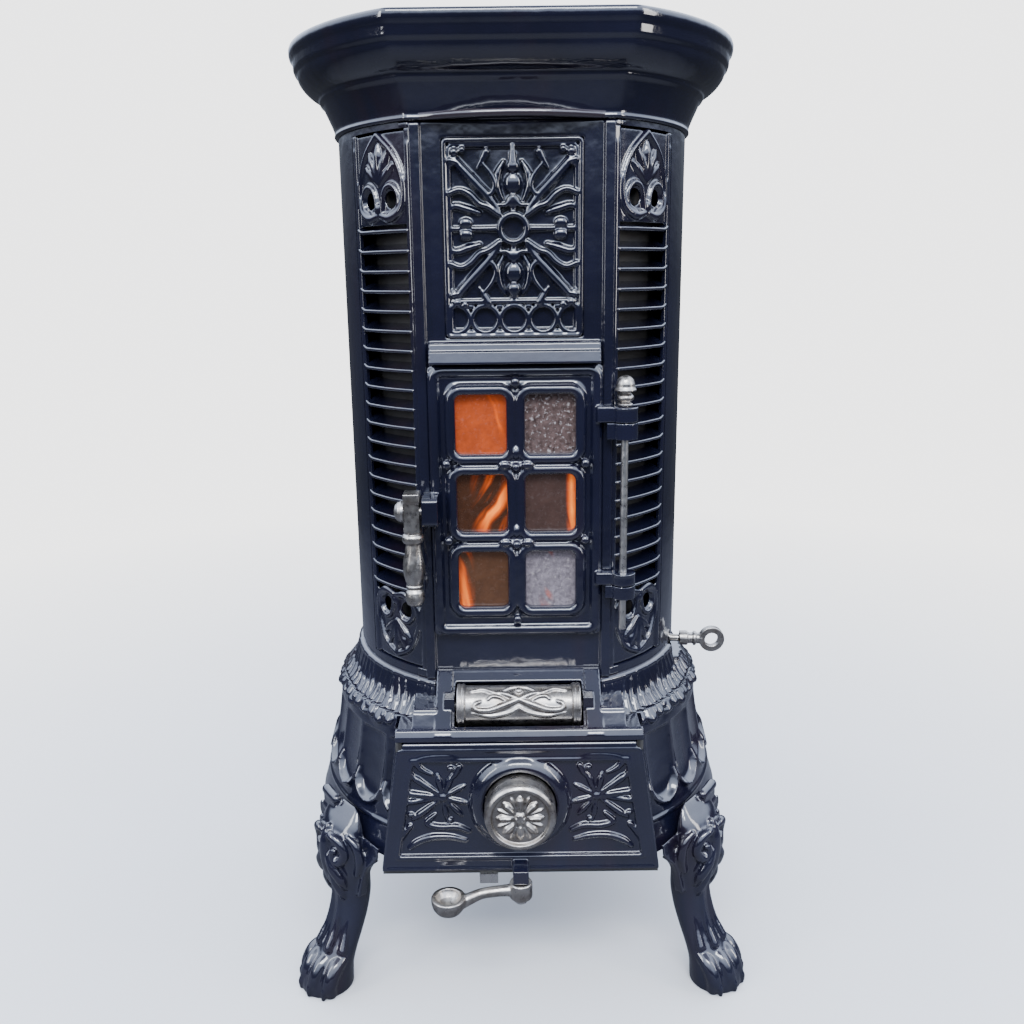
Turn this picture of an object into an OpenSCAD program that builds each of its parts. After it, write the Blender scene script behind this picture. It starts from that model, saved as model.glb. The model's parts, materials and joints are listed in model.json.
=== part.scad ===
// Cast-iron wood burning stove, enamelled, with nickelled fittings.
// Frame: millimetres, +Z up, the floor at Z = 0, the drum's axis on Z, the fire door faces -Y.
// Azimuths are measured from the front (-Y) and grow towards the right-hand side (+X).

/* [Drum] */
// Outer radius of the round drum
body_r = 172; // [170:1:174]
// Wall of the drum and of the flat front
body_wall = 5; // [4:0.5:5]
// Distance from the drum's axis to its flat front
front_y = 146; // [145:0.5:147]
// Height of the drum's lower edge over the floor
body_z0 = 336; // [334:1:338]
// Height of the drum's upper edge over the floor
body_z1 = 850; // [848:1:854]

/* [Top] */
// Height of the cooking surface over the floor
top_z = 930; // [926:1:936]
// Radius of the cornice at its rim
cornice_r = 215; // [212:1:218]
// Radius of the opening under the lid ring
ring_hole_r = 100; // [95:1:104]
// Radius of the opening under the cooking lid
lid_hole_r = 64; // [55:1:70]

/* [Side grilles] */
// First azimuth of a grille
grille_a0 = 31; // [30:0.5:32]
// Last azimuth of a grille
grille_a1 = 59; // [58:0.5:62]
// Number of louvre fins in each grille
fin_count = 20; // [12:1:22]
// Height of the lowest fin
fin_z0 = 420; // [418:1:424]
// Distance between fins
fin_pitch = 17.75; // [16:0.25:18]

/* [Fire door] */
// Width of the fire door
door_w = 160; // [158:1:160]
// Height of the fire door's lower edge
door_z0 = 382; // [380:1:386]
// Height of the fire door's upper edge
door_z1 = 641; // [638:1:641]
// Width of a window
pane_w = 46; // [40:1:48]
// Height of a window
pane_h = 54; // [48:1:58]
// Distance between window centres across the door
pane_pitch_x = 63.5; // [62:0.5:66]
// Distance between window centres up the door
pane_pitch_z = 74; // [70:1:76]

/* [Hinge and latch] */
// Distance of the hinge pin from the middle of the door
pin_x = 100; // [98:0.5:102]
// Distance of the hinge pin in front of the drum's axis
pin_y = 158; // [157:0.5:159]
// Radius of the hinge pin
pin_r = 3.4; // [3:0.1:3.6]
// Radial clearance of pins, screws and shafts in their bores
running_fit = 0.06; // [0.02:0.01:0.1]
// Height of the latch handle's pivot
latch_z = 510; // [500:1:520]

/* [Base] */
// Radius of the base at its lower edge
base_r = 222; // [220:1:224]
// Height of the base's lower edge over the floor
base_z0 = 158; // [156:1:160]
// Wall of the base
base_wall = 7; // [6:0.5:8]
// Distance from the drum's axis to the ash door's front
ash_y = 206; // [204:1:207]
// Half width of the ash door at its upper edge
ash_top_w = 115; // [113:1:116]
// Half width of the ash door at its lower edge
ash_bottom_w = 134; // [132:1:135]

/* [Legs] */
// Azimuth of the front legs; the rear legs mirror them
leg_azimuth = 52; // [48:1:56]
// Radius of the pads that the legs are bolted to
leg_pad_r = 224; // [223:1:226]

/* [Air regulator] */
// Radius of the regulator knob
knob_r = 33.5; // [32:0.5:34]
// Height of the knob's axis
knob_z = 232; // [228:1:236]

/* [Flue] */
// Inner radius of the flue collar, which takes a 111 mm pipe
flue_r = 55.8; // [55.6:0.1:56]
// Height of the flue's axis
flue_z = 780; // [774:1:784]
// Distance from the drum's axis to the end of the collar
flue_end_y = 240; // [230:1:250]

/* [Hidden] */
$fn = 96;
eps = 0.01;

// Colours
enamel = "#20242e";
nickel = "#a9a39b";
iron = "#3c3a38";
brick = "#b9a284";
mica = "#b8632a";

// Drum and front plate
body_in = body_r - body_wall;
panel_back = front_y - 6;
rib_x0 = 80;
rib_x1 = 89.5;
rib_proud = 5;
opening_w = 140;
opening_z0 = door_z0 + 11;
opening_z1 = door_z1 - 10;
throat = 6;

// Inner fire drum
drum_r = 155;
drum_wall = 3;
drum_front = panel_back - throat;
brick_r = 125;
plate_top = body_z0 + 6;

// Cornice: radius and height of its outline, with the flat front set in by this much
front_inset = body_r - front_y;
cornice_wall = 8;
cornice_outline = [
  [174, body_z1], [179.5, 863], [184, 877], [186, 882], [191, 886.5], [198, 892],
  [204, 897.5], [208, 903], [210.5, 909], [213, 917], [cornice_r, 925], [cornice_r, top_z]
];
rim_in = cornice_r - 6.5;
plate_t = 8;

// Ornamental panel
panel_x = 62;
panel_z0 = 665;
panel_z1 = 836;
rosette_z = 760;

// Door
door_back = front_y + 3;
door_front = front_y + 10;
moulding_front = front_y + 15;
window_mid_z = 513;
pane_back = door_back + 1;
pane_t = 1.5;

// Latch handle
handle_x = -96;
handle_y = 171;
handle_head = 7.25;
lug_x0 = -87;
lug_x1 = -72;
screw_r = 4;

// Hinge lugs: lower and upper faces of the two visible lugs
lug_low = [421, 446];
lug_high = [573, 603];
lug_r = 12;

// Base
base_outline = [
  [176, body_z0], [183, 320], [191, 299], [196, 275], [200, 258], [203, 245],
  [207, 214], [216, 186], [base_r, 168], [base_r, base_z0]
];
lip_r = 158;
lip_t = 8;
hood_w = 80;
hood_top = 344;
hood_lip = 295.5;
ash_back = ash_y - 7;
housing_front = ash_back - 0.5;
housing_wall = 6;
housing_back = 120;
floor_t = 5;

// Ash door
ash_top = 291;
ash_bottom = 160;
barrel_r = 3.5;
barrel_y = ash_y - barrel_r;
barrel_w = 110;
collar_r = 40;
collar_in = 35;
spindle_r = 5;
ash_lug_y = 220;

// Hearth drum
hd_y = 176;
hd_z = 319;
hd_r = 20;
hd_w = 60;
trunnion_r = 4;

// Grate and shaker
grate_r = 59.5;
shaker_z = 326;
shaker_az = 83.5;

// Tie rods: azimuths round the drum
rod_azimuths = [112, 145, 215, 248];
rod_r = 3;
rod_ring = 161.5;

// Turns what is drawn at the front to an azimuth
module at_azimuth(a) rotate([0, 0, a]) children();

// A ring sector between two azimuths, from a radius-height outline
module sector(a0, a1, outline)
  rotate([0, 0, a0 - 90])
    rotate_extrude(angle = a1 - a0)
      polygon(outline);

// A tube wall between two radii and two heights
module tube(r0, r1, z0, z1)
  translate([0, 0, z0])
    difference() {
      cylinder(r = r1, h = z1 - z0);
      translate([0, 0, -1]) cylinder(r = r0, h = z1 - z0 + 2);
    }

// A box given by its two corners
module block(low, high)
  translate(low) cube(high - low);

// A cylinder along Y from one distance in front of the axis to another
module front_rod(x, z, r, y0, y1)
  translate([x, -y0, z]) rotate([90, 0, 0]) cylinder(r = r, h = y1 - y0);

// A cylinder along X
module cross_rod(x0, x1, y, z, r)
  translate([x0, -y, z]) rotate([0, 90, 0]) cylinder(r = r, h = x1 - x0);

// A flat shape drawn in X and Z, standing between two distances in front of the axis
module upright(y0, y1)
  translate([0, -y0, 0]) rotate([90, 0, 0]) linear_extrude(y1 - y0) children();

// A rectangle with round corners, as a flat shape
module round_rect(x, z, w, h, r)
  translate([x, z]) {
    square([w - 2 * r, h], center = true);
    square([w, h - 2 * r], center = true);
    for (sx = [-1, 1], sz = [-1, 1])
      translate([sx * (w / 2 - r), sz * (h / 2 - r)]) circle(r);
  }

// ---------------------------------------------------------------- base

// The space that the hearth front takes out of the round base
module hearth_space() {
  upright(housing_back, 260)
    union() {
      ash_trapezoid(0);
      translate([-ash_bottom_w - 1, base_z0 - 1]) square([2 * ash_bottom_w + 2, 1 + eps]);
    }
  block([-hood_w, -260, 290], [hood_w, -housing_back, body_z0 + 1]);
}

// Slot that lets the shaker lever swing
module shaker_slot()
  sector(shaker_az - 15, shaker_az + 15, [
    [lip_r - 8, 313], [210, 313], [210, body_z0 + 1], [lip_r - 8, body_z0 + 1]
  ]);

// Pads inside the base wall for the four legs
module leg_pads()
  for (a = leg_azimuths())
    at_azimuth(a) block([-24, -leg_pad_r, base_z0], [24, -205, 200]);

function leg_azimuths() = [leg_azimuth, -leg_azimuth, 180 - leg_azimuth, leg_azimuth - 180];

module leg_bolt_holes(r)
  for (a = leg_azimuths())
    at_azimuth(a) front_rod(0, 176, r, 180, 260);

module base_shell()
  color(enamel)
    difference() {
      union() {
        rotate_extrude()
          polygon(concat(
            base_outline,
            [for (i = [len(base_outline) - 1:-1:1])
              [base_outline[i][0] - base_wall, base_outline[i][1]]],
            [[lip_r + 11, body_z0 - lip_t], [lip_r, body_z0 - lip_t], [lip_r, body_z0]]
          ));
        leg_pads();
      }
      hearth_space();
      shaker_slot();
      leg_bolt_holes(4.3);
      rod_holes(3.3, body_z0 - lip_t - 1, body_z0 + 1);
    }

module base_floor()
  color(iron)
    translate([0, 0, base_z0 - floor_t])
      intersection() {
        union() {
          cylinder(r = 216, h = floor_t);
          translate([-ash_bottom_w, -housing_front, 0])
            cube([2 * ash_bottom_w, housing_front, floor_t]);
        }
        translate([-300, -housing_front, -1]) cube([600, 600, floor_t + 2]);
      }

// Sloping hood outline, as distance in front of the axis and height
module hood_profile(inset)
  polygon([
    [front_y, hood_top - inset], [front_y + 4 - inset / 2, hood_top - inset],
    [ash_y - inset, 300 - inset], [ash_y - inset, hood_lip - 9],
    [housing_back, hood_lip - 9], [housing_back, body_z0 - inset],
    [front_y, body_z0 - inset]
  ]);

module hood_wedge(w, inset)
  translate([w, 0, 0]) rotate([90, 0, -90]) linear_extrude(2 * w) hood_profile(inset);

// Outline of the ash door's housing, or of its inside, which the base's floor closes below
module ash_trapezoid(margin, low = base_z0)
  polygon([
    [-ash_bottom_w - 1 + margin, low], [ash_bottom_w + 1 - margin, low],
    [ash_top_w + 1 - margin, 300 - margin], [-ash_top_w - 1 + margin, 300 - margin]
  ]);

module hearth_hood()
  color(enamel)
    difference() {
      union() {
        difference() {
          union() {
            hood_wedge(hood_w, 0);
            upright(housing_back, housing_front) ash_trapezoid(0);
            block([-ash_top_w - 1, -ash_y, hood_lip], [ash_top_w + 1, -housing_back, 300]);
          }
          hood_wedge(hood_w - housing_wall, housing_wall);
          upright(housing_back - 1, housing_front - housing_wall)
            ash_trapezoid(housing_wall, base_z0 - 1);
        }
        for (s = [-1, 1])
          block([s * 66 - 5, -185, 305], [s * 66 + 5, -163, 330]);
      }
      // opening behind the ash door
      upright(housing_back, ash_y)
        polygon([
          [-ash_bottom_w + 16, base_z0 + 14], [ash_bottom_w - 16, base_z0 + 14],
          [ash_top_w - 14, 283], [-ash_top_w + 14, 283]
        ]);
      // room in front for the ash door's round upper edge
      block([-ash_top_w - 2, -ash_y - 1, 280], [ash_top_w + 2, -housing_front, hood_lip]);
      // well for the hearth drum
      cross_rod(-61, 61, hd_y, hd_z, 24);
      block([-61, -ash_y - 1, hd_z - 12], [61, -hd_y, hd_z + 40]);
      cross_rod(-72, 72, hd_y, hd_z, trunnion_r);
    }

// ---------------------------------------------------------------- legs

// Centre line of a leg: distance from the axis, height, half width, half depth
leg_stations = [
  [228, 199, 24, 8], [231, 188, 30, 16], [231, 168, 34, 20], [229, 144, 33, 20],
  [226, 122, 27, 18], [226, 100, 21, 17], [230, 78, 19, 16], [238, 56, 19, 17],
  [247, 38, 20, 20], [255, 22, 25, 25], [260, 9, 28, 28]
];

module leg_slice(s)
  translate([0, -s[0], s[1]]) scale([s[2] / 10, s[3] / 10, 1]) cylinder(r = 10, h = 1, $fn = 24);

module leg(a)
  at_azimuth(a)
    difference() {
      union() {
        for (i = [0:len(leg_stations) - 2])
          hull() {
            leg_slice(leg_stations[i]);
            leg_slice(leg_stations[i + 1]);
          }
        hull() {
          leg_slice([260, 9, 28, 28]);
          leg_slice([260, 0, 26, 27]);
        }
      }
      block([-40, -leg_pad_r, base_z0 - floor_t - 1], [40, -150, 210]);
      block([-40, -218, 140], [40, -150, 160]);
      front_rod(0, 176, 4.3, 200, 238);
    }

module leg_front_left() color(enamel) leg(-leg_azimuth);
module leg_front_right() color(enamel) leg(leg_azimuth);
module leg_rear_left() color(enamel) leg(leg_azimuth - 180);
module leg_rear_right() color(enamel) leg(180 - leg_azimuth);

module leg_bolts()
  color(iron)
    for (a = leg_azimuths())
      at_azimuth(a) {
        front_rod(0, 176, 4, 204, 236);
        translate([0, -198, 176]) rotate([90, 0, 0]) cylinder(r = 8, h = 7, $fn = 6);
      }

// ---------------------------------------------------------------- drum

module flue_pad()
  front_rod(0, flue_z, 76, -178, -160);

// The window that a side grille fills, from an inner radius outwards
module grille_window(side, r)
  sector(side > 0 ? grille_a0 : -grille_a1, side > 0 ? grille_a1 : -grille_a0, [
    [r, body_z0 + 8], [190, body_z0 + 8], [190, body_z1 - 5], [r, body_z1 - 5]
  ]);

module body_shell()
  color(enamel)
    difference() {
      union() {
        tube(body_in, body_r, body_z0, body_z1);
        difference() {
          flue_pad();
          cylinder(r = body_in, h = 1000);
          translate([-100, 100, body_z1]) cube([200, 100, 20]);
        }
      }
      block([-200, -200, 0], [200, -panel_back, 1000]);
      for (side = [-1, 1])
        grille_window(side, 150);
      front_rod(0, flue_z, 60.3, -200, -100);
      for (a = [45:90:315])
        front_rod(68 * cos(a), flue_z + 68 * sin(a), 2.6, -190, -140);
    }

module front_plate()
  color(enamel)
    difference() {
      union() {
        intersection() {
          translate([0, 0, body_z0]) cylinder(r = body_r, h = body_z1 - body_z0);
          block([-200, -front_y, 0], [200, -panel_back, 1000]);
        }
        for (s = [-1, 1])
          block([min(s * rib_x0, s * rib_x1), -front_y - rib_proud, body_z0],
                [max(s * rib_x0, s * rib_x1), -front_y, body_z1 - 2]);
        upright(drum_front, front_y)
          round_rect(0, (opening_z0 + opening_z1) / 2, opening_w + 12, opening_z1 - opening_z0 + 12, 8);
        // two-tier rain ledge over the door
        block([-74, -front_y - 19, door_z1 + 1.5], [74, -front_y, door_z1 + 9]);
        block([-70, -front_y - 13, door_z1 + 9], [70, -front_y, door_z1 + 15]);
      }
      upright(drum_front - 1, front_y + 1)
        round_rect(0, (opening_z0 + opening_z1) / 2, opening_w, opening_z1 - opening_z0, 6);
      block([-panel_x, -front_y - 1, panel_z0], [panel_x, -panel_back + 1, panel_z1]);
      for (side = [-1, 1])
        grille_window(side, body_in);
    }

// Bars of the ornamental panel, as a flat pattern in X and Z
module panel_pattern() {
  translate([0, rosette_z]) {
    difference() {
      circle(13);
      circle(10);
    }
    for (sx = [-1, 1], sz = [-1, 1])
      for (lean = [40, 52])
        rotate(90 - sx * 90 + sx * sz * lean)
          translate([11, -1.6]) square([64, 3.2]);
    for (sz = [-1, 1]) {
      translate([-2, sz > 0 ? 11 : -62]) square([4, 51]);
      for (d = [22, 34, 46])
        translate([0, sz * d]) circle(56 / d + 5.5);
      for (sx = [-1, 1]) {
        translate([sx * 30, sz * 9]) circle(7.5);
        translate([sx * 42, sz * 7]) circle(6);
      }
    }
    for (sx = [-1, 1])
      translate([sx > 0 ? 11 : -55, -2]) square([44, 4]);
  }
  translate([-55, 695]) square([110, 4]);
  for (i = [-2:2])
    intersection() {
      translate([-54, 666]) square([108, 30]);
      translate([i * 26, 681.5])
        difference() {
          circle(14);
          circle(10);
        }
    }
}

module ornament_grille()
  color(enamel)
    union() {
      upright(panel_back, front_y + 3)
        difference() {
          translate([-panel_x, panel_z0]) square([2 * panel_x, panel_z1 - panel_z0]);
          translate([-53.5, panel_z0 + 4]) square([107, panel_z1 - panel_z0 - 13]);
        }
      upright(panel_back, front_y)
        intersection() {
          translate([-54, panel_z0 + 3]) square([108, panel_z1 - panel_z0 - 11]);
          panel_pattern();
        }
    }

// One louvre fin: a thin front edge and a blade that rises inwards
fin_outline = [
  [body_r - 0.6, 0], [body_r - 0.6, 2.2], [body_r - 3, 2.6], [157.5, 9], [157.5, 6.8],
  [body_r - 3.5, 0]
];

module fin(z) translate([0, 0, z]) sector(grille_a0 + 2, grille_a1 - 2, fin_outline);

module medallion(z0, z1, hole_z)
  difference() {
    sector(grille_a0 + 2, grille_a1 - 2, [
      [body_in + 0.6, z0], [body_r - 1.2, z0], [body_r - 1.2, z1], [body_in + 0.6, z1]
    ]);
    for (d = [-4.2, 4.2])
      at_azimuth((grille_a0 + grille_a1) / 2 + d) front_rod(0, hole_z, 7, 150, 190);
  }

module side_grille()
  union() {
    for (a = [grille_a0, grille_a1 - 2.5])
      sector(a, a + 2.5, [
        [body_in, body_z0 + 8], [body_r, body_z0 + 8], [body_r, body_z1 - 5], [body_in, body_z1 - 5]
      ]);
    for (i = [0:fin_count - 1])
      fin(fin_z0 + i * fin_pitch);
    medallion(body_z0 + 9, fin_z0 - 7, fin_z0 - 18);
    medallion(fin_z0 + fin_count * fin_pitch - 7, body_z1 - 6, fin_z0 + fin_count * fin_pitch + 9);
  }

module side_grille_right() color(enamel) side_grille();
module side_grille_left() color(enamel) mirror([1, 0, 0]) side_grille();

// ---------------------------------------------------------------- top

// A round solid with a flat front, from a radius-height outline
module fronted(outline) {
  low = outline[0][1];
  high = outline[len(outline) - 1][1];
  intersection() {
    rotate_extrude() polygon(concat([[0, low]], outline, [[0, high]]));
    rotate([90, 0, -90])
      translate([0, 0, -300])
        linear_extrude(600)
          polygon(concat(
            [for (p = outline) [p[0] - front_inset, p[1]]],
            [[-300, high], [-300, low]]
          ));
  }
}

module cornice() {
  under = top_z - plate_t;
  shelf_r = rim_in - 8.5;
  inner = concat(
    [[cornice_outline[0][0] - cornice_wall, body_z1 - eps]],
    [for (i = [1:5]) cornice_outline[i] - [cornice_wall, 0]],
    [[shelf_r, 912], [shelf_r, under + eps]]
  );
  color(enamel)
    difference() {
      union() {
        difference() {
          fronted(cornice_outline);
          fronted(inner);
          fronted([[rim_in, under], [rim_in, top_z + 1]]);
        }
        // inner flange that the tie rods pull on
        intersection() {
          tube(drum_r + 1, 170, body_z1, body_z1 + 6);
          block([-200, -120, 0], [200, 200, 1000]);
        }
      }
      rod_holes(3.3, body_z1 - 1, body_z1 + 7);
    }
}

module top_plate()
  color(iron)
    difference() {
      fronted([[rim_in - 0.5, top_z - plate_t], [rim_in - 0.5, top_z]]);
      translate([0, 0, top_z - plate_t - 1]) cylinder(r = ring_hole_r, h = plate_t + 2);
      translate([0, 0, top_z - 4]) cylinder(r = ring_hole_r + 5, h = 5);
    }

module lid_ring()
  color(iron)
    difference() {
      union() {
        translate([0, 0, top_z - plate_t]) cylinder(r = ring_hole_r - 0.5, h = plate_t);
        translate([0, 0, top_z - 4]) cylinder(r = ring_hole_r + 4.5, h = 4);
      }
      translate([0, 0, top_z - plate_t - 1]) cylinder(r = lid_hole_r, h = plate_t + 2);
      translate([0, 0, top_z - 4]) cylinder(r = lid_hole_r + 5, h = 5);
    }

module cooking_lid()
  color(iron)
    difference() {
      union() {
        translate([0, 0, top_z - plate_t]) cylinder(r = lid_hole_r - 0.6, h = plate_t);
        translate([0, 0, top_z - 3.7]) cylinder(r = lid_hole_r + 4.4, h = 3.7);
      }
      // pocket for the lifting hook
      translate([0, 40, top_z - 4]) cube([8, 26, 9], center = true);
    }

// ---------------------------------------------------------------- flue

module flue_collar()
  color(iron)
    difference() {
      union() {
        front_rod(0, flue_z, 60, -flue_end_y, -146);
        front_rod(0, flue_z, 76, -186, -178);
        front_rod(0, flue_z, 63, -flue_end_y, -flue_end_y + 6);
      }
      front_rod(0, flue_z, flue_r, -flue_end_y - 1, -140);
      for (a = [45:90:315])
        front_rod(68 * cos(a), flue_z + 68 * sin(a), 2.6, -190, -170);
    }

module flue_bolts()
  color(iron)
    for (a = [45:90:315]) {
      front_rod(68 * cos(a), flue_z + 68 * sin(a), 2.5, -186, -150);
      translate([68 * cos(a), 190, flue_z + 68 * sin(a)])
        rotate([90, 0, 0]) cylinder(r = 5, h = 4, $fn = 6);
    }

// ---------------------------------------------------------------- inside

module fire_drum()
  color(iron)
    difference() {
      intersection() {
        translate([0, 0, plate_top]) cylinder(r = drum_r, h = top_z - plate_t - plate_top);
        block([-200, -drum_front, 0], [200, 200, 1000]);
      }
      intersection() {
        translate([0, 0, plate_top - 1]) cylinder(r = drum_r - drum_wall, h = 700);
        block([-200, -drum_front + drum_wall, 0], [200, 200, 1100]);
      }
      upright(drum_front - 10, drum_front + 1)
        round_rect(0, (opening_z0 + opening_z1) / 2, opening_w, opening_z1 - opening_z0, 6);
      front_rod(0, flue_z, 60.3, -200, -100);
    }

module fire_bricks()
  color(brick)
    for (i = [0:5])
      sector(56 + i * 42, 56 + i * 42 + 38, [
        [brick_r, plate_top], [drum_r - drum_wall - 0.5, plate_top],
        [drum_r - drum_wall - 0.5, 560], [brick_r + 6, 560], [brick_r, 554]
      ]);

module rod_holes(r, z0, z1)
  for (a = rod_azimuths)
    at_azimuth(a) translate([0, -rod_ring, z0]) cylinder(r = r, h = z1 - z0);

module hearth_plate()
  color(iron)
    difference() {
      intersection() {
        translate([0, 0, body_z0]) cylinder(r = body_in - 0.4, h = 6);
        block([-200, -panel_back + 0.2, 0], [200, 200, 1000]);
      }
      translate([0, 0, body_z0 - 1]) cylinder(r = 60.5, h = 8);
      rod_holes(3.3, body_z0 - 1, body_z0 + 7);
    }

module grate_ring()
  color(iron) tube(52, 78, body_z0 - 5, body_z0);

module grate()
  color(iron)
    difference() {
      union() {
        translate([0, 0, body_z0 + 0.4]) cylinder(r = grate_r, h = 6);
        translate([0, 0, shaker_z - 6]) cylinder(r = 14, h = body_z0 - shaker_z + 7);
      }
      for (i = [-3:3])
        if (i != 0)
          block([-sqrt(52 * 52 - i * i * 196), i * 14 - 4, body_z0 - 2],
                [sqrt(52 * 52 - i * i * 196), i * 14 + 4, body_z0 + 8]);
      for (s = [-1, 1])
        block([min(s * 19, s * 50), -4, body_z0 - 2], [max(s * 19, s * 50), 4, body_z0 + 8]);
      at_azimuth(shaker_az) front_rod(0, shaker_z, 4, 4, 20);
    }

module shaker_lever()
  color(nickel)
    at_azimuth(shaker_az)
      difference() {
        union() {
          front_rod(0, shaker_z, 4, 4, 186);
          front_rod(0, shaker_z, 8, 181, 190);
          front_rod(0, shaker_z, 6, 190, 206);
          front_rod(0, shaker_z, 8, 196, 199);
          shaker_eye(14);
        }
        shaker_eye(7.5, 10);
      }

// Flat eye at the lever's end, seen round from the front
module shaker_eye(r, t = 8)
  translate([0, -216, shaker_z]) rotate([90, 0, 180 - shaker_az])
    cylinder(r = r, h = t, center = true);

module ash_pan()
  color(iron)
    difference() {
      union() {
        block([-95, -172, base_z0 + 1], [95, 130, 230]);
        block([-22, -180, 180], [22, -171, 186]);
      }
      block([-93, -170, base_z0 + 3], [93, 128, 240]);
    }

module tie_rods()
  color(iron) rod_holes(rod_r, body_z0 - lip_t - 7, body_z1 + 14);

module tie_rod_nuts()
  color(iron)
    difference() {
      for (a = rod_azimuths, z = [body_z0 - lip_t - 5, body_z1 + 6])
        at_azimuth(a) translate([0, -rod_ring, z]) cylinder(r = 5, h = 5, $fn = 6);
      rod_holes(rod_r, body_z0 - lip_t - 7, body_z1 + 14);
    }

// ---------------------------------------------------------------- fire door

pane_places = [for (row = [1, 0, -1], col = [-1, 1])
  [col * pane_pitch_x / 2, window_mid_z + row * pane_pitch_z]];

module windows(margin, y0, y1)
  upright(y0, y1)
    for (p = pane_places)
      round_rect(p[0], p[1], pane_w + 2 * margin, pane_h + 2 * margin, 6);

module door_frame()
  color(enamel)
    difference() {
      union() {
        upright(door_back, door_front)
          round_rect(0, (door_z0 + door_z1) / 2, door_w, door_z1 - door_z0, 5);
        upright(door_back, moulding_front)
          round_rect(0, window_mid_z, 128, 224, 10);
        // arms that the hinge pin passes through
        for (z = [[lug_low[0] + 12.9, lug_low[1]], [lug_high[0] + 15.4, lug_high[1]]]) {
          block([door_w / 2 - 4, -pin_y - 5, z[0]], [pin_x, -pin_y + 5, z[1]]);
          translate([pin_x, -pin_y, z[0]]) cylinder(r = lug_r, h = z[1] - z[0]);
        }
        // lug of the latch handle
        block([lug_x0, -handle_y - 9, latch_z - 14],
              [lug_x1, -front_y - rib_proud - 1, latch_z + 13]);
      }
      windows(0, door_back - 1, moulding_front + 1);
      windows(3, door_back - 1, pane_back + pane_t);
      translate([pin_x, -pin_y, 300]) cylinder(r = pin_r + running_fit, h = 400);
      cross_rod(lug_x0 - 1, lug_x1 - 3, handle_y, latch_z, screw_r);
      screw_places() front_rod(0, 0, 1.6, door_back - 1, door_back + 4);
    }

module pane(i)
  color(mica)
    upright(pane_back, pane_back + pane_t)
      round_rect(pane_places[i][0], pane_places[i][1], pane_w + 5.6, pane_h + 5.6, 5.8);

module mica_top_left() pane(0);
module mica_top_right() pane(1);
module mica_middle_left() pane(2);
module mica_middle_right() pane(3);
module mica_bottom_left() pane(4);
module mica_bottom_right() pane(5);

module screw_places()
  for (x = [-64, 64], z = [-100, -36, 36, 100])
    translate([x, 0, window_mid_z + z]) children();

// Sheet frame that holds the panes from behind, with tongues that press on them
module pane_retainer()
  color(iron)
    difference() {
      union() {
        upright(door_back - 1.5, door_back)
          round_rect(0, window_mid_z, 135, 228, 4);
        windows(2.5, door_back, pane_back);
      }
      windows(0, door_back - 3, pane_back + 1);
      screw_places() front_rod(0, 0, 1.6, door_back - 4, door_back + 2);
    }

module retainer_screws()
  color(nickel)
    screw_places() {
      front_rod(0, 0, 1.5, door_back - 1.6, door_back + 3.5);
      front_rod(0, 0, 3, door_back - 2.7, door_back - 1.5);
    }

module door_rope()
  color("#8d8a82")
    upright(front_y + 0.4, door_back)
      difference() {
        round_rect(0, (opening_z0 + opening_z1) / 2, opening_w + 12, opening_z1 - opening_z0 + 12, 8);
        round_rect(0, (opening_z0 + opening_z1) / 2, opening_w + 1, opening_z1 - opening_z0 + 1, 5);
      }

// ---------------------------------------------------------------- latch and hinge

module latch_handle()
  color(nickel)
    difference() {
      union() {
        block([handle_x - handle_head, -handle_y - 9, latch_z - 20],
              [handle_x + handle_head, -handle_y + 9, latch_z + 17]);
        // tongue that reaches under the keeper
        block([handle_x - 6, -handle_y + 8, latch_z - 7], [handle_x + 6, -handle_y + 23, latch_z + 1]);
        translate([handle_x, -handle_y, 0])
          rotate_extrude()
            polygon([
              [0, 418], [6, 420], [9, 427], [9, 433], [7.5, 436], [10, 446], [10, 458],
              [7.5, 476], [7, 481], [10, 483], [10, 487], [7, 490.5], [0, 490.5]
            ]);
      }
      cross_rod(handle_x - 10, handle_x + 10, handle_y, latch_z, screw_r + running_fit);
    }

module latch_screw()
  color(nickel)
    union() {
      cross_rod(handle_x - handle_head - 0.5, lug_x1 - 3, handle_y, latch_z, screw_r);
      translate([handle_x - handle_head - 0.5, -handle_y, latch_z])
        rotate([0, -90, 0])
          rotate_extrude()
            polygon([[0, 0], [10, 0], [10, 2], [9, 5], [6.5, 7.5], [3, 8.7], [0, 9]]);
    }

module latch_keeper()
  color(enamel)
    intersection() {
      difference() {
        block([handle_x - 9, -front_y - rib_proud, latch_z + 2.5], [-rib_x1, -130, latch_z + 12]);
        cylinder(r = body_r, h = 1000);
      }
      block([-150, -200, 0], [0, 0, 1000]);
    }

module hinge_brackets()
  color(enamel)
    difference() {
      for (z = [[lug_low[0], lug_low[1] - 12.5], [lug_high[0], lug_high[1] - 15]]) {
        block([rib_x0 + 3, -pin_y - 5, z[0]], [rib_x1, -front_y - rib_proud, z[1]]);
        block([rib_x0 + 4, -pin_y - 5, z[0]], [pin_x, -pin_y + 5, z[1]]);
        translate([pin_x, -pin_y, z[0]]) cylinder(r = lug_r, h = z[1] - z[0]);
      }
      translate([pin_x, -pin_y, 300]) cylinder(r = pin_r + running_fit, h = 400);
    }

module hinge_pin()
  color(nickel) translate([pin_x, -pin_y, 389]) cylinder(r = pin_r, h = 214.5);

module pin_finial()
  color(nickel)
    translate([pin_x, -pin_y, 603.5])
      rotate_extrude()
        polygon([
          [0, 0], [6.5, 0], [7, 1.5], [5, 3], [7.5, 5.5], [7.5, 8.5], [5.2, 11], [5.2, 12.5],
          [9.8, 13.5], [10, 15], [8.6, 17], [8, 20], [6.6, 23.5], [4, 26.3], [1.6, 27.4], [0, 27.6]
        ]);

// ---------------------------------------------------------------- ash door

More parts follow.
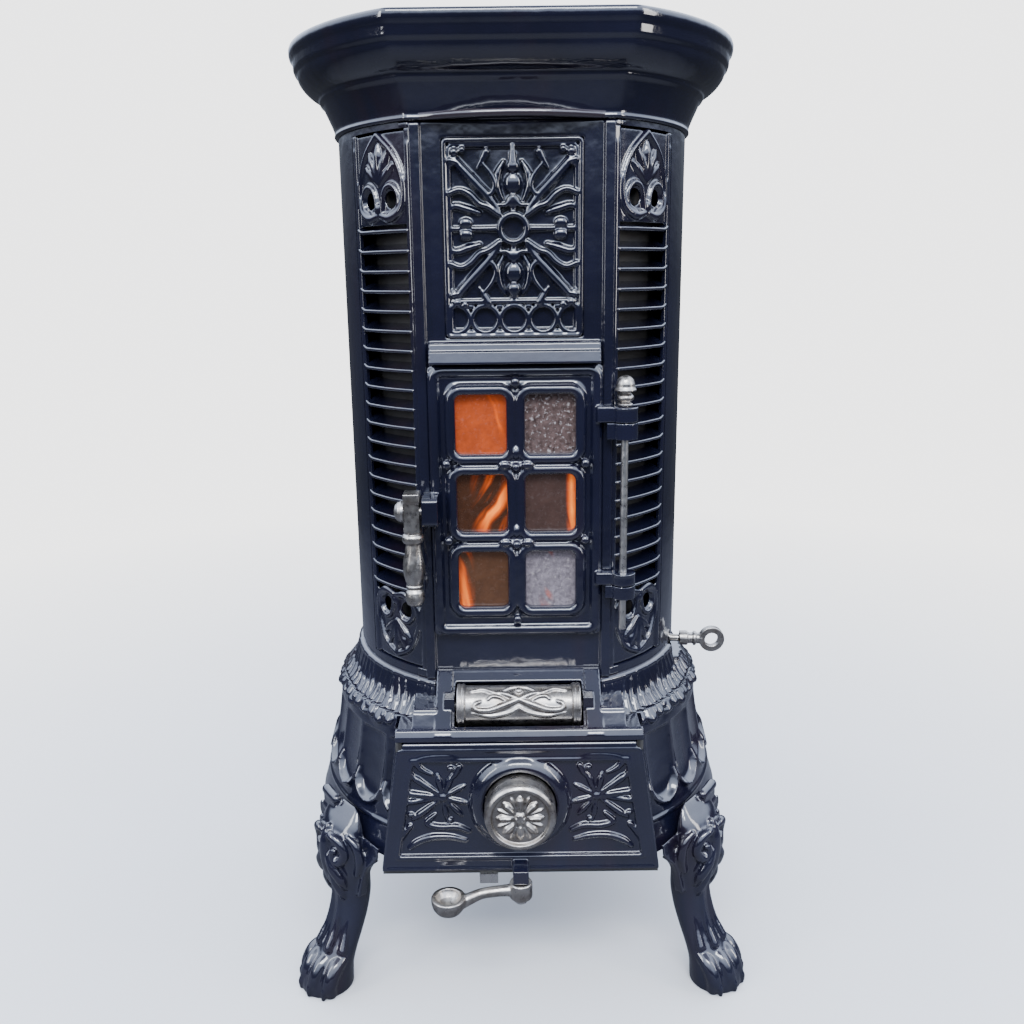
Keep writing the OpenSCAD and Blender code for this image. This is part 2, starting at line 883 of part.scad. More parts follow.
module ash_plate(margin)
  polygon([
    [-ash_bottom_w + margin, ash_bottom + margin], [ash_bottom_w - margin, ash_bottom + margin],
    [ash_top_w - margin, ash_top - margin], [-ash_top_w + margin, ash_top - margin]
  ]);

module ash_door()
  color(enamel)
    difference() {
      union() {
        difference() {
          upright(ash_back, ash_y) ash_plate(0);
          upright(ash_y - 3, ash_y + 1) ash_plate(14);
          for (s = [-1, 1])
            block([s > 0 ? barrel_w : -130, -ash_y - 1, 284], [s > 0 ? 130 : -barrel_w, -ash_back + 1, 300]);
        }
        cross_rod(-barrel_w, barrel_w, barrel_y, ash_top, barrel_r);
        front_rod(0, knob_z, collar_r, ash_back, ash_y + 7);
        block([-7.5, -ash_lug_y - 7.5, ash_bottom - 2], [7.5, -ash_y + 4, ash_bottom + 12]);
      }
      difference() {
        front_rod(0, knob_z, collar_in, ash_back - 1, ash_y + 8);
        block([-40, -ash_y + 2, knob_z - 6], [40, -ash_back, knob_z + 6]);
        front_rod(0, knob_z, 11, ash_back, ash_y + 2);
      }
      front_rod(0, knob_z, spindle_r + running_fit, ash_back - 1, ash_y + 8);
      for (s = [-1, 1])
        cross_rod(s > 0 ? barrel_w - 16 : -barrel_w - 1, s > 0 ? barrel_w + 1 : 16 - barrel_w,
                  barrel_y, ash_top, 2 + running_fit);
      translate([0, -ash_lug_y, ash_bottom - 5]) cylinder(r = 3, h = 16);
    }

module ash_door_pins()
  color(iron)
    for (s = [-1, 1]) {
      block([s > 0 ? barrel_w + 0.4 : -ash_top_w - 1, -ash_y, 286.5],
            [s > 0 ? ash_top_w + 1 : -barrel_w - 0.4, -housing_front, hood_lip]);
      cross_rod(s > 0 ? barrel_w - 15 : -barrel_w - 3, s > 0 ? barrel_w + 3 : 15 - barrel_w,
                barrel_y, ash_top, 2);
    }

module regulator_knob()
  color(nickel)
    difference() {
      union() {
        front_rod(0, knob_z, knob_r, 210, 229);
        front_rod(0, knob_z, knob_r - 2, 229, 233);
        front_rod(0, knob_z, knob_r - 6, 233, 236);
      }
      front_rod(0, knob_z, spindle_r + running_fit, 209, 228);
    }

module regulator_spindle()
  color(iron) front_rod(0, knob_z, spindle_r, 180, 227.5);

module regulator_nut()
  color(iron)
    difference() {
      front_rod(0, knob_z, 9, 182, 188);
      front_rod(0, knob_z, spindle_r, 181, 189);
    }

module ash_latch_lever()
  color(nickel)
    translate([0, -ash_lug_y, 0])
      difference() {
        union() {
          translate([0, 0, 141]) cylinder(r = 11, h = 16.5);
          // tongue under the base's edge
          block([-5, 6, 143], [5, 26, 151]);
          rotate([0, 0, 6]) {
            block([-62, -5.5, 143], [0, 5.5, 151]);
            translate([-69, 0, 142]) cylinder(r = 16, h = 10);
          }
        }
        rotate([0, 0, 6]) translate([-69, 0, 161]) sphere(r = 15);
        translate([0, 0, 130]) cylinder(r = 3 + running_fit, h = 40);
      }

module ash_latch_pin()
  color(nickel)
    translate([0, -ash_lug_y, 0]) {
      translate([0, 0, 138]) cylinder(r = 3, h = 33);
      translate([0, 0, 136.5]) cylinder(r = 6, h = 4);
    }

module ash_keeper_tab()
  color(nickel)
    union() {
      block([-40, -199, base_z0 - floor_t - 3], [-22, -180, base_z0 - floor_t]);
      block([-40, -201, base_z0 - floor_t - 10], [-22, -198.6, base_z0 - floor_t]);
    }

// ---------------------------------------------------------------- hearth drum

module hearth_drum()
  color(nickel)
    difference() {
      union() {
        cross_rod(-hd_w + 3, hd_w - 3, hd_y, hd_z, hd_r - 1);
        for (s = [-1, 1])
          cross_rod(s * (hd_w - 5) - 4, s * (hd_w - 5) + 4, hd_y, hd_z, hd_r + 1);
      }
      cross_rod(-hd_w - 1, hd_w + 1, hd_y, hd_z, trunnion_r + running_fit);
    }

module drum_trunnions()
  color(iron)
    for (s = [-1, 1])
      cross_rod(s > 0 ? hd_w - 12 : -71, s > 0 ? 71 : 12 - hd_w, hd_y, hd_z, trunnion_r);

base_shell();
hearth_hood();
base_floor();
leg_front_left();
leg_front_right();
leg_rear_left();
leg_rear_right();
leg_bolts();
body_shell();
front_plate();
ornament_grille();
side_grille_left();
side_grille_right();
cornice();
top_plate();
lid_ring();
cooking_lid();
flue_collar();
flue_bolts();
fire_drum();
fire_bricks();
hearth_plate();
grate_ring();
grate();
shaker_lever();
ash_pan();
tie_rods();
tie_rod_nuts();
door_frame();
mica_top_left();
mica_top_right();
mica_middle_left();
mica_middle_right();
mica_bottom_left();
mica_bottom_right();
pane_retainer();
retainer_screws();
door_rope();
latch_handle();
latch_screw();
latch_keeper();
hinge_brackets();
hinge_pin();
pin_finial();
ash_door();
ash_door_pins();
regulator_knob();
regulator_spindle();
regulator_nut();
ash_latch_lever();
ash_latch_pin();
hearth_drum();
drum_trunnions();
ash_keeper_tab();
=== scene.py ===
import bpy, bmesh, json, math
import numpy as np
from mathutils import Matrix, Vector


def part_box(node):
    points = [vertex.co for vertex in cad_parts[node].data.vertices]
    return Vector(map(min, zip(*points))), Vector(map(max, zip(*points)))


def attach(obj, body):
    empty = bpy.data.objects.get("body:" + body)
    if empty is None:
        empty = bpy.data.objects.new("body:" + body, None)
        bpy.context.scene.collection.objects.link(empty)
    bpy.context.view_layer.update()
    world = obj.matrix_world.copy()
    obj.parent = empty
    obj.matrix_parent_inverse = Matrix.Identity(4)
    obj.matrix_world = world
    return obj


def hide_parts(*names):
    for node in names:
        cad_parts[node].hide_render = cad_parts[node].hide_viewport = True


MM = 0.001
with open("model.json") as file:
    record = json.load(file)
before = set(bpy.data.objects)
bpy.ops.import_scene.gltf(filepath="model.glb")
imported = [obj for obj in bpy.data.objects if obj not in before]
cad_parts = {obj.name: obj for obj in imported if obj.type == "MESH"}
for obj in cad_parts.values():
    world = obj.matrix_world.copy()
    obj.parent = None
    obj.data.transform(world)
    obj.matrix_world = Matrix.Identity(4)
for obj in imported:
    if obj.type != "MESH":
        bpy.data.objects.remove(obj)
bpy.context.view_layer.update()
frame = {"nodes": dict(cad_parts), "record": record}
nodes = frame["nodes"]
slot_of = {s["node"]: s["material_slot"] for s in frame["record"]["subparts"]}
body_of = {n: b for b, held in frame["record"]["behaviour"]["bodies"].items() for n in held}
COARSE = 1.0
TUBE_STEP = 1.6                         # distance between the rings of a sweep
CUTTER_VOXEL = 0.7

# ---- shape kit
# Shapes are gathered in millimetres as (x, out, z): out is the distance in front of the
# drum's axis, or the height over a curved surface that the shape is wrapped on.


def front(p):
    """Stands a flat drawing up in front of the axis."""
    return np.column_stack([p[:, 0], -p[:, 1], p[:, 2]])


def wrapped(azimuth, radius):
    """Wraps x round the drum: x is the arc length from the azimuth at the radius."""
    def place(p):
        a = math.radians(azimuth) + p[:, 0] / radius
        r = radius + p[:, 1]
        return np.column_stack([r * np.sin(a), -r * np.cos(a), p[:, 2]])
    return place


def curve(points, count, looped=False):
    """A smooth curve through the points, or for a loop the closed outline, at even places."""
    p = np.array(points, float)
    n = len(p)
    if looped:
        p = np.vstack([p, p[:1]])
        length = np.concatenate([[0], np.cumsum(np.linalg.norm(np.diff(p, axis=0), axis=1))])
        t = np.linspace(0, length[-1], count, endpoint=False)
        return np.column_stack([np.interp(t, length, p[:, k]) for k in range(p.shape[1])])
    p = np.vstack([2 * p[0] - p[1], p, 2 * p[-1] - p[-2]])
    t = np.linspace(1, n, count)
    t[-1] = n - 1e-9
    i = np.floor(t).astype(int)
    u = (t - i)[:, None]
    a, b, c, d = p[i - 1], p[i], p[i + 1], p[i + 2]
    return 0.5 * (2 * b + (c - a) * u + (2 * a - 5 * b + 4 * c - d) * u ** 2
                  + (3 * b - a - 3 * c + d) * u ** 3)


def circle(steps):
    """Even angles round a full turn."""
    return np.linspace(0, 2 * math.pi, steps, endpoint=False)


def ring(x, z, r):
    """Outline of a circle."""
    return [(x + r * math.cos(a), z + r * math.sin(a)) for a in circle(32)]


def add_object(name, data):
    obj = bpy.data.objects.new(name, data)
    bpy.context.scene.collection.objects.link(obj)
    return obj


def dress(obj, material):
    obj.data.materials.clear()
    obj.data.materials.append(material)


def round_rect(x, z, w, h, r, steps=6):
    """Outline of a rectangle with round corners, round its middle."""
    corners = [(x + w / 2 - r, z + h / 2 - r, 0), (x - w / 2 + r, z + h / 2 - r, 90),
               (x - w / 2 + r, z - h / 2 + r, 180), (x + w / 2 - r, z - h / 2 + r, 270)]
    return [(cx + r * math.cos(math.radians(a + 90 * k / steps)),
             cz + r * math.sin(math.radians(a + 90 * k / steps)))
            for cx, cz, a in corners for k in range(steps + 1)]


class Casting:
    """Closed shapes gathered for one piece."""

    def __init__(self, place=front):
        self.points, self.faces, self.count, self.place = [], [], 0, place

    def add(self, points, faces):
        """Takes in points, placed where the casting's drawings go, and their faces."""
        points = self.place(np.array(points, float))
        self.faces += [[i + self.count for i in f] for f in faces]
        self.points.append(points)
        self.count += len(points)

    def rings(self, rings, looped=False):
        """Joins closed rings of points into one skin, with a lid at both ends or as a loop."""
        rings = np.array(rings, float)
        n, m = rings.shape[:2]
        faces = []
        for i in range(n if looped else n - 1):
            k = (i + 1) % n
            faces += [[i * m + j, i * m + (j + 1) % m, k * m + (j + 1) % m, k * m + j]
                      for j in range(m)]
        if not looped:
            faces += [list(range(m))[::-1], [(n - 1) * m + j for j in range(m)]]
        self.add(rings.reshape(-1, 3), faces)

    def plate(self, outline, out0, out1):
        """A prism between two distances from (x, z) points."""
        self.rings([[(x, out, z) for x, z in outline] for out in (out0, out1)])

    def box(self, low, high):
        self.plate([(low[0], low[2]), (high[0], low[2]), (high[0], high[2]), (low[0], high[2])],
                   low[1], high[1])

    def beam(self, outline, x0, x1):
        """A prism along x from (out, z) points."""
        self.rings([[(x, out, z) for out, z in outline] for x in (x0, x1)])

    def lathe(self, outline, centre, axis="z", steps=72, looped=False):
        """Turns (radius, along) points round an axis through the centre."""
        turn = circle(steps)
        rings = []
        for r, along in outline:
            a, b = max(r, 0.01) * np.cos(turn), max(r, 0.01) * np.sin(turn)
            h = np.full(steps, float(along))
            ring = {"z": (a, b, h), "out": (a, h, b), "x": (h, a, b)}[axis]
            rings.append(np.column_stack(ring) + centre)
        self.rings(rings, looped)

    def ball(self, centre, radii, steps=20):
        """A ball, or with three radii an egg along the axes."""
        radii = (radii,) * 3 if np.isscalar(radii) else radii
        turn = circle(steps)
        rings = []
        for lat in np.linspace(-0.495 * math.pi, 0.495 * math.pi, steps // 2):
            rings.append(np.column_stack([
                radii[0] * math.cos(lat) * np.cos(turn), radii[1] * math.cos(lat) * np.sin(turn),
                np.full(steps, radii[2] * math.sin(lat))]) + centre)
        self.rings(rings)

    def tube(self, path, radius, out=None, flat=1.0, looped=False, count=None, sides=12):
        """A round-ended sweep; path is (x, z) with one out, or full (x, out, z) points."""
        if out is not None:
            path = [(x, out, z) for x, z in path]
        span = float(np.sum(np.linalg.norm(np.diff(np.array(path, float), axis=0), axis=1)))
        count = count or int(max(6, span / TUBE_STEP))
        p = curve(path, count, looped)
        r = np.interp(np.linspace(0, 1, count), np.linspace(0, 1, len(np.atleast_1d(radius))),
                      np.atleast_1d(radius))
        if looped:
            tangent = np.roll(p, -1, 0) - np.roll(p, 1, 0)
        else:
            tangent = np.gradient(p, axis=0)
        tangent /= np.linalg.norm(tangent, axis=1)[:, None]
        if not looped:
            p0, p1 = p[0], p[-1]
            caps = [math.radians(a) for a in (78, 55, 28)]
            p = np.vstack([[p0 - tangent[0] * r[0] * math.sin(a) for a in caps], p,
                           [p1 + tangent[-1] * r[-1] * math.sin(a) for a in caps[::-1]]])
            tangent = np.vstack([[tangent[0]] * 3, tangent, [tangent[-1]] * 3])
            r = np.concatenate([[r[0] * math.cos(a) for a in caps], r,
                                [r[-1] * math.cos(a) for a in caps[::-1]]])
        side = np.cross(tangent[0], (0, 1, 0))
        if np.linalg.norm(side) < 0.1:
            side = np.cross(tangent[0], (1, 0, 0))
        turn = circle(sides)
        rings = []
        for c, t, rad in zip(p, tangent, r):
            side = side - t * np.dot(side, t)
            side /= np.linalg.norm(side)
            up = np.cross(t, side)
            offset = rad * (np.outer(np.cos(turn), side) + np.outer(np.sin(turn), up))
            offset[:, 1] *= flat
            rings.append(c + offset)
        self.rings(rings, looped)

    def strokes(self, strokes, place=lambda *p: p):
        """Sweeps strokes on both sides: each is its points, radii, distance and flatness."""
        for points, *how in strokes:
            for s in (1, -1):
                self.tube([(s * x, *rest) for x, *rest in (place(*p) for p in points)], *how)

    def node(self, name):
        """Takes a copy of a CAD node's own mesh."""
        mesh = nodes[name].data
        p = np.empty(len(mesh.vertices) * 3)
        mesh.vertices.foreach_get("co", p)
        keep, self.place = self.place, (lambda q: q)
        self.add(p.reshape(-1, 3) / MM, [list(f.vertices) for f in mesh.polygons])
        self.place = keep

    def object(self, name):
        """Makes one closed mesh object of all that was gathered."""
        name += "_casting"
        mesh = bpy.data.meshes.new(name)
        mesh.from_pydata(np.vstack(self.points) * MM, [], self.faces)
        bm = bmesh.new()
        bm.from_mesh(mesh)
        bmesh.ops.remove_doubles(bm, verts=bm.verts, dist=1e-6)
        bmesh.ops.recalc_face_normals(bm, faces=bm.faces)
        bm.to_mesh(mesh)
        bm.free()
        return add_object(name, mesh)


def freeze(obj):
    """Replaces an object's mesh with what its modifiers make of it."""
    graph = bpy.context.evaluated_depsgraph_get()
    mesh = bpy.data.meshes.new_from_object(obj.evaluated_get(graph))
    obj.modifiers.clear()
    obj.data = mesh
    mesh.shade_smooth()


def skin(obj, voxel):
    """Melts overlapping shapes into one skin."""
    mod = obj.modifiers.new("skin", "REMESH")
    mod.mode = "VOXEL"
    mod.voxel_size = voxel * COARSE * MM


def settle(obj, smooth, keep):
    """Rounds the skin as a casting is round, and thins its mesh."""
    mod = obj.modifiers.new("soften", "SMOOTH")
    mod.factor = 0.5
    mod.iterations = smooth
    if keep < 1:
        obj.modifiers.new("thin", "DECIMATE").ratio = keep


def points_in(obj):
    return len(obj.evaluated_get(bpy.context.evaluated_depsgraph_get()).data.vertices)


def carve(obj, cuts, voxel=None):
    """Cuts the gathered shapes out of a piece; a skin with a pinched point is made again."""
    cutter = cuts.object(obj.name + "_cutter")
    skin(cutter, CUTTER_VOXEL)
    for nudge in (1, 1.03, 0.97, 1.06, 0.94):
        obj.modifiers.clear()
        if voxel:
            skin(obj, voxel * nudge)
        whole = points_in(obj)
        mod = obj.modifiers.new("cut", "BOOLEAN")
        mod.operation, mod.solver, mod.object = "DIFFERENCE", "MANIFOLD", cutter
        if points_in(obj) != whole:
            break
    else:
        raise RuntimeError(f"nothing was cut out of {obj.name}")
    freeze(obj)
    bpy.data.objects.remove(cutter)


def cast(name, shape, voxel, smooth, keep, cuts=None):
    """Makes one smooth piece of the gathered shapes."""
    obj = shape.object(name)
    if cuts:
        carve(obj, cuts, voxel)
    skin(obj, voxel)
    settle(obj, smooth, keep)
    freeze(obj)
    finish_piece(obj, name)
    return obj


def finish_piece(obj, name):
    """Hands a piece over: its body, the CAD node it stands for, its slot and its material."""
    slot = slot_of[name]
    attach(obj, body_of[name])
    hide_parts(name)
    dress(obj, materials.get("cast_" + slot) or materials[slot])


def soften(name, voxel, smooth=4, keep=0.4):
    """Rounds a CAD node's edges as a casting's are."""
    skin(nodes[name], voxel)
    settle(nodes[name], smooth, keep)


# ---- materials

class Shader:
    """A short way to write the nodes of a material, or of the world round it all."""

    def __init__(self, name, world=False):
        self.mat = (bpy.data.worlds if world else bpy.data.materials).new(name)
        self.mat.use_nodes = True
        self.tree = self.mat.node_tree
        self.bsdf = self.tree.nodes["Background" if world else "Principled BSDF"]
        where = self.node("ShaderNodeTexCoord").outputs
        self.where = where["Generated" if world else "Object"]

    def node(self, kind, **inputs):
        n = self.tree.nodes.new(kind)
        for key, value in inputs.items():
            self.put(n.inputs[key.replace("_", " ")], value)
        return n

    def put(self, socket, value):
        if isinstance(value, bpy.types.NodeSocket):
            self.tree.links.new(value, socket)
        elif socket.type == "RGBA" and np.ndim(value) and len(value) == 3:
            socket.default_value = (*value, 1)
        else:
            socket.default_value = value

    def set(self, **inputs):
        for key, value in inputs.items():
            self.put(self.bsdf.inputs[key.replace("_", " ")], value)

    def stretched(self, x=1, y=1, z=1, source=None):
        return self.node("ShaderNodeMapping", Vector=source or self.where,
                         Scale=(x, y, z)).outputs["Vector"]

    def noise(self, scale, detail=3, rough=0.5, source=None):
        n = self.node("ShaderNodeTexNoise", Vector=source or self.where, Scale=scale,
                      Detail=detail, Roughness=rough)
        return n.outputs["Fac"]

    def ramp(self, value, *stops):
        n = self.node("ShaderNodeValToRGB", Fac=value)
        ramp = n.color_ramp
        while len(ramp.elements) < len(stops):
            ramp.elements.new(0.5)
        for e, (place, colour) in zip(ramp.elements, stops):
            e.position = place
            colour = (colour,) * 3 if np.isscalar(colour) else colour
            e.color = (*colour, 1)
        return n.outputs["Color"]

    def mix(self, factor, a, b, how="MIX"):
        n = self.tree.nodes.new("ShaderNodeMix")
        n.data_type, n.blend_type = "RGBA", how
        self.put(n.inputs[0], factor)
        self.put(n.inputs[6], a)
        self.put(n.inputs[7], b)
        return n.outputs[2]

    def maths(self, how, a, b=0.0, clamp=False):
        n = self.tree.nodes.new("ShaderNodeMath")
        n.operation, n.use_clamp = how, clamp
        self.put(n.inputs[0], a)
        self.put(n.inputs[1], b)
        return n.outputs[0]

    def edges(self):
        return self.node("ShaderNodeNewGeometry").outputs["Pointiness"]

    def bump(self, height, distance, strength=1.0, under=None):
        n = self.node("ShaderNodeBump", Height=height, Distance=distance, Strength=strength)
        if under:
            self.put(n.inputs["Normal"], under)
        return n.outputs["Normal"]


def enamel(name, worn):
    """Black-blue vitreous enamel: deep gloss, slow waves, painted red-brown reflection streaks running
    upright, brown where it is thin on edges.
    """
    s = Shader(name)
    cloud = s.noise(9, 4, 0.6)
    base = s.ramp(cloud, (0.3, (0.005, 0.0056, 0.0145)), (0.7, (0.0095, 0.0103, 0.026)))
    # painted reflection: upright red-brown streaks in the colour stand in for the room's reflections
    # in the gloss
    painted_reflection_streak = s.noise(14, 3, 0.6, s.stretched(1, 1, 0.12))
    base = s.mix(s.ramp(painted_reflection_streak, (0.56, 0.0), (0.72, 0.35)), base, (0.024, 0.010, 0.012))
    if worn:
        thin = s.ramp(s.edges(), (0.55, 0.0), (0.62, 0.6))
        base = s.mix(thin, base, (0.05, 0.035, 0.038))
    s.set(Base_Color=base, Roughness=s.ramp(s.noise(30, 4), (0.35, 0.1), (0.7, 0.2)),
          Coat_Weight=1.0, Coat_Roughness=0.06, Coat_IOR=1.75, Specular_IOR_Level=0.5)
    waves = s.bump(s.noise(55, 2, 0.4), 0.0012, 0.5)
    peel = s.bump(s.noise(420, 2, 0.5), 0.00012, 0.7, waves)
    s.set(Normal=peel, Coat_Normal=waves)
    return s.mat


def nickel():
    """Worn nickel plate: warm grey, dull in the hollows, with fine rubbing marks."""
    s = Shader("nickel")
    cloud = s.noise(70, 5, 0.65)
    base = s.ramp(cloud, (0.32, (0.30, 0.265, 0.23)), (0.6, (0.56, 0.53, 0.49)))
    hollow = s.ramp(s.edges(), (0.42, 1.0), (0.5, 0.0))
    base = s.mix(hollow, base, (0.07, 0.055, 0.045))
    rubbed = s.ramp(s.edges(), (0.52, 0.0), (0.6, 0.8))
    base = s.mix(rubbed, base, (0.78, 0.76, 0.73))
    s.set(Base_Color=base, Metallic=1.0,
          Roughness=s.ramp(s.noise(160, 4, 0.7), (0.3, 0.22), (0.75, 0.46)))
    marks = s.noise(900, 3, 0.6, s.stretched(0.25, 1, 1))
    s.set(Normal=s.bump(marks, 0.00012, 0.5, s.bump(s.noise(120, 4, 0.6), 0.0005, 0.45)))
    return s.mat


def cast_iron():
    """Blackleaded cast iron: dark, grainy and a little polished on the edges."""
    s = Shader("bare_iron")
    base = s.ramp(s.noise(25, 5, 0.6), (0.3, (0.022, 0.021, 0.021)), (0.7, (0.055, 0.052, 0.049)))
    rust = s.ramp(s.noise(48, 6, 0.7), (0.62, 0.0), (0.74, 0.5))
    base = s.mix(rust, base, (0.085, 0.04, 0.024))
    base = s.mix(s.ramp(s.edges(), (0.53, 0.0), (0.6, 0.5)), base, (0.16, 0.155, 0.15))
    s.set(Base_Color=base, Metallic=0.55,
          Roughness=s.ramp(s.noise(210, 3), (0.3, 0.42), (0.7, 0.62)),
          Normal=s.bump(s.noise(650, 3, 0.6), 0.0005, 0.6))
    return s.mat


def sheet_steel():
    """Heat-blued sheet steel with soot, drawn lines round the drum."""
    s = Shader("sheet_steel")
    base = s.ramp(s.noise(7, 5, 0.6), (0.35, (0.03, 0.028, 0.028)), (0.7, (0.11, 0.105, 0.1)))
    s.set(Base_Color=base, Metallic=0.8,
          Roughness=s.ramp(s.noise(300, 3, 0.6, s.stretched(0.1, 0.1, 1)), (0.3, 0.38), (0.7, 0.6)),
          Normal=s.bump(s.noise(600, 3, 0.6, s.stretched(0.05, 0.05, 1)), 0.0002, 0.5))
    return s.mat


def firebrick():
    """Fired clay with grit and a soot bloom."""
    s = Shader("firebrick")
    base = s.ramp(s.noise(45, 6, 0.7), (0.3, (0.36, 0.25, 0.155)), (0.7, (0.55, 0.42, 0.28)))
    base = s.mix(s.ramp(s.noise(9, 4, 0.6), (0.4, 0.0), (0.65, 0.75)), base, (0.05, 0.044, 0.04))
    s.set(Base_Color=base, Roughness=0.92,
          Normal=s.bump(s.noise(380, 5, 0.7), 0.001, 0.7))
    return s.mat


def rope_seal():
    """Knitted glass-fibre rope: crossed strands with a fuzzy sheen."""
    s = Shader("rope_seal")
    strands = [s.node("ShaderNodeTexWave", Vector=s.stretched(1, 1, lean), Scale=190,
                      Distortion=1.2).outputs["Fac"] for lean in (1, -1)]
    weave = s.maths("MAXIMUM", *strands)
    base = s.mix(weave, (0.16, 0.15, 0.135), (0.5, 0.48, 0.44))
    s.set(Base_Color=base, Roughness=0.95, Sheen_Weight=0.4, Sheen_Roughness=0.5,
          Normal=s.bump(weave, 0.001, 0.8))
    return s.mat


def mica(name, centre, tint, smoke, flames, bright, lean, side, spread):
    """A heat-stained mica pane that itself glows with painted flames, standing in for the fire's light
    behind it.
    flames is how much of the pane shows the painted flames, lean tilts the tongues, side and spread
    place them."""
    s = Shader(name)
    spot = s.node("ShaderNodeVectorMath", Vector=s.where)
    spot.operation = "SUBTRACT"
    spot.inputs[1].default_value = centre
    spot = spot.outputs[0]
    x = s.node("ShaderNodeSeparateXYZ", Vector=spot)
    across, up = x.outputs["X"], x.outputs["Z"]
    drift = s.maths("MULTIPLY", up, lean)
    sway = s.maths("MULTIPLY", s.noise(42, 2, 0.5, s.stretched(1, 1, 0.5, spot)), 0.018)
    tongue = s.maths("ADD", s.maths("ADD", across, drift), sway)
    licks = s.node("ShaderNodeTexNoise", Vector=s.stretched(62, 1, 11, s.node(
        "ShaderNodeCombineXYZ", X=tongue, Z=up).outputs[0]), Scale=1.0, Detail=2.5,
        Roughness=0.45, Distortion=0.7).outputs["Fac"]
    place = s.maths("MULTIPLY", s.maths("ABSOLUTE", s.maths("SUBTRACT", across, side)), 1 / spread)
    reach = s.maths("SUBTRACT", 1.35, place, True)
    # heat is the mask of the painted flames
    heat = s.maths("MULTIPLY", s.ramp(licks, (0.66 - 0.3 * flames, 0.0), (0.84 - 0.2 * flames, 1.0)),
                   s.maths("MULTIPLY", reach, min(1, 2 * flames)))
    stain = s.noise(190, 6, 0.72, spot)
    blotch = s.noise(60, 3, 0.6, spot)
    base = s.mix(s.ramp(stain, (0.42, 0.0), (0.62, smoke)), tint, tuple(0.32 * c for c in tint))
    base = s.mix(s.ramp(blotch, (0.45, 0.0), (0.6, 0.55)), base, tuple(0.6 * c for c in tint))
    fleck = s.ramp(s.noise(330, 4, 0.7, spot), (0.56, 0.0), (0.66, smoke * smoke))
    base = s.mix(fleck, base, (0.42, 0.38, 0.37))
    # painted fire light: the flames' colours mixed into the pane's colour
    painted_flame_colour = s.ramp(heat, (0.0, (0.10, 0.015, 0.002)), (0.5, (0.75, 0.10, 0.006)),
                   (1.0, (1.0, 0.24, 0.02)))
    base = s.mix(heat, base, painted_flame_colour)
    # painted light: the pane itself emits its tint and the painted flames, though it is no lamp
    painted_fire_glow = s.mix(heat, tuple(0.35 * c for c in tint), painted_flame_colour)
    s.set(Base_Color=base, Emission_Color=painted_fire_glow, Emission_Strength=bright,
          Roughness=s.ramp(s.noise(120, 3), (0.35, 0.12), (0.7, 0.32)),
          Specular_IOR_Level=0.6, Coat_Weight=0.5, Coat_Roughness=0.08,
          Normal=s.bump(s.noise(34, 3, 0.5, spot), 0.002, 0.5))
    return s.mat


materials = {"enamel": enamel("enamel", False), "cast_enamel": enamel("cast_enamel", True),
             "nickel": nickel(), "bare_iron": cast_iron(), "sheet_steel": sheet_steel(),
             "firebrick": firebrick(), "rope_seal": rope_seal()}

# pane: tint, smoke spots, painted flames, brightness of the painted fire light, and the flames' lean,
# side and spread
PANES = {
    "mica_top_left": ((0.46, 0.075, 0.018), 0.3, 0.3, 0.55, 0.35, 0.014, 0.02),
    "mica_top_right": ((0.15, 0.10, 0.09), 1.0, 0.0, 0.1, 0.0, 0.0, 0.02),
    "mica_middle_left": ((0.05, 0.02, 0.01), 0.2, 0.85, 1.0, -0.6, 0.01, 0.017),
    "mica_middle_right": ((0.06, 0.034, 0.028), 0.25, 0.85, 0.9, 0.35, 0.022, 0.006),
    "mica_bottom_left": ((0.08, 0.036, 0.018), 0.2, 0.75, 0.9, 0.3, -0.017, 0.007),
    "mica_bottom_right": ((0.27, 0.235, 0.26), 0.8, 0.42, 0.25, 0.6, -0.004, 0.006),
}
for name, values in PANES.items():
    low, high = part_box(name)
    materials[name] = mica(name, tuple((low + high) / 2), *values)
for name, obj in nodes.items():
    dress(obj, materials.get(name) or materials[slot_of[name]])


# ---- ornamental panel

PANEL_MID_Z = 750.5
ROSETTE_Z = 760
# a quarter of the panel's flower, from the rosette's middle
ARM = [
    # forked strap that runs to the corner
    (((13, 15), (22, 28), (34, 41), (46, 54), (53, 63)), (3.4, 4.2, 4.4, 4, 3.2), 144.2, 1.3),
    (((27, 57), (19, 47), (16, 37), (20, 30), (27, 32), (37, 44), (47, 56), (55, 59)),
     (1.6, 2.2, 2.3, 2.3, 2.2, 2, 2, 2.4), 147.2),
    (((23, 66), (26, 60), (31, 52)), (3.6, 3, 1.5), 146.2),
    # side strap with an S bend
    (((12, 12), (22, 19), (30, 22), (38, 30), (47, 34), (56, 31)), (2.8, 3, 2.8, 2.8, 2.6, 2.6),
     145.6, 1.3),
    (((30, 14), (40, 17), (50, 20), (56, 18)), (2, 3.2, 3, 2), 144),
    # outer petals of the upright spear
    (((9, 24), (14, 36), (13, 48), (8, 58)), (1.6, 3.4, 3.2, 1.5), 144.2)]
ARM_BALLS = ((51, 146, 66, 4), (44, 146, 68, 3.2), (54, 146, 56, 2.8), (42, 145.5, 5, (6.5, 4, 5)))


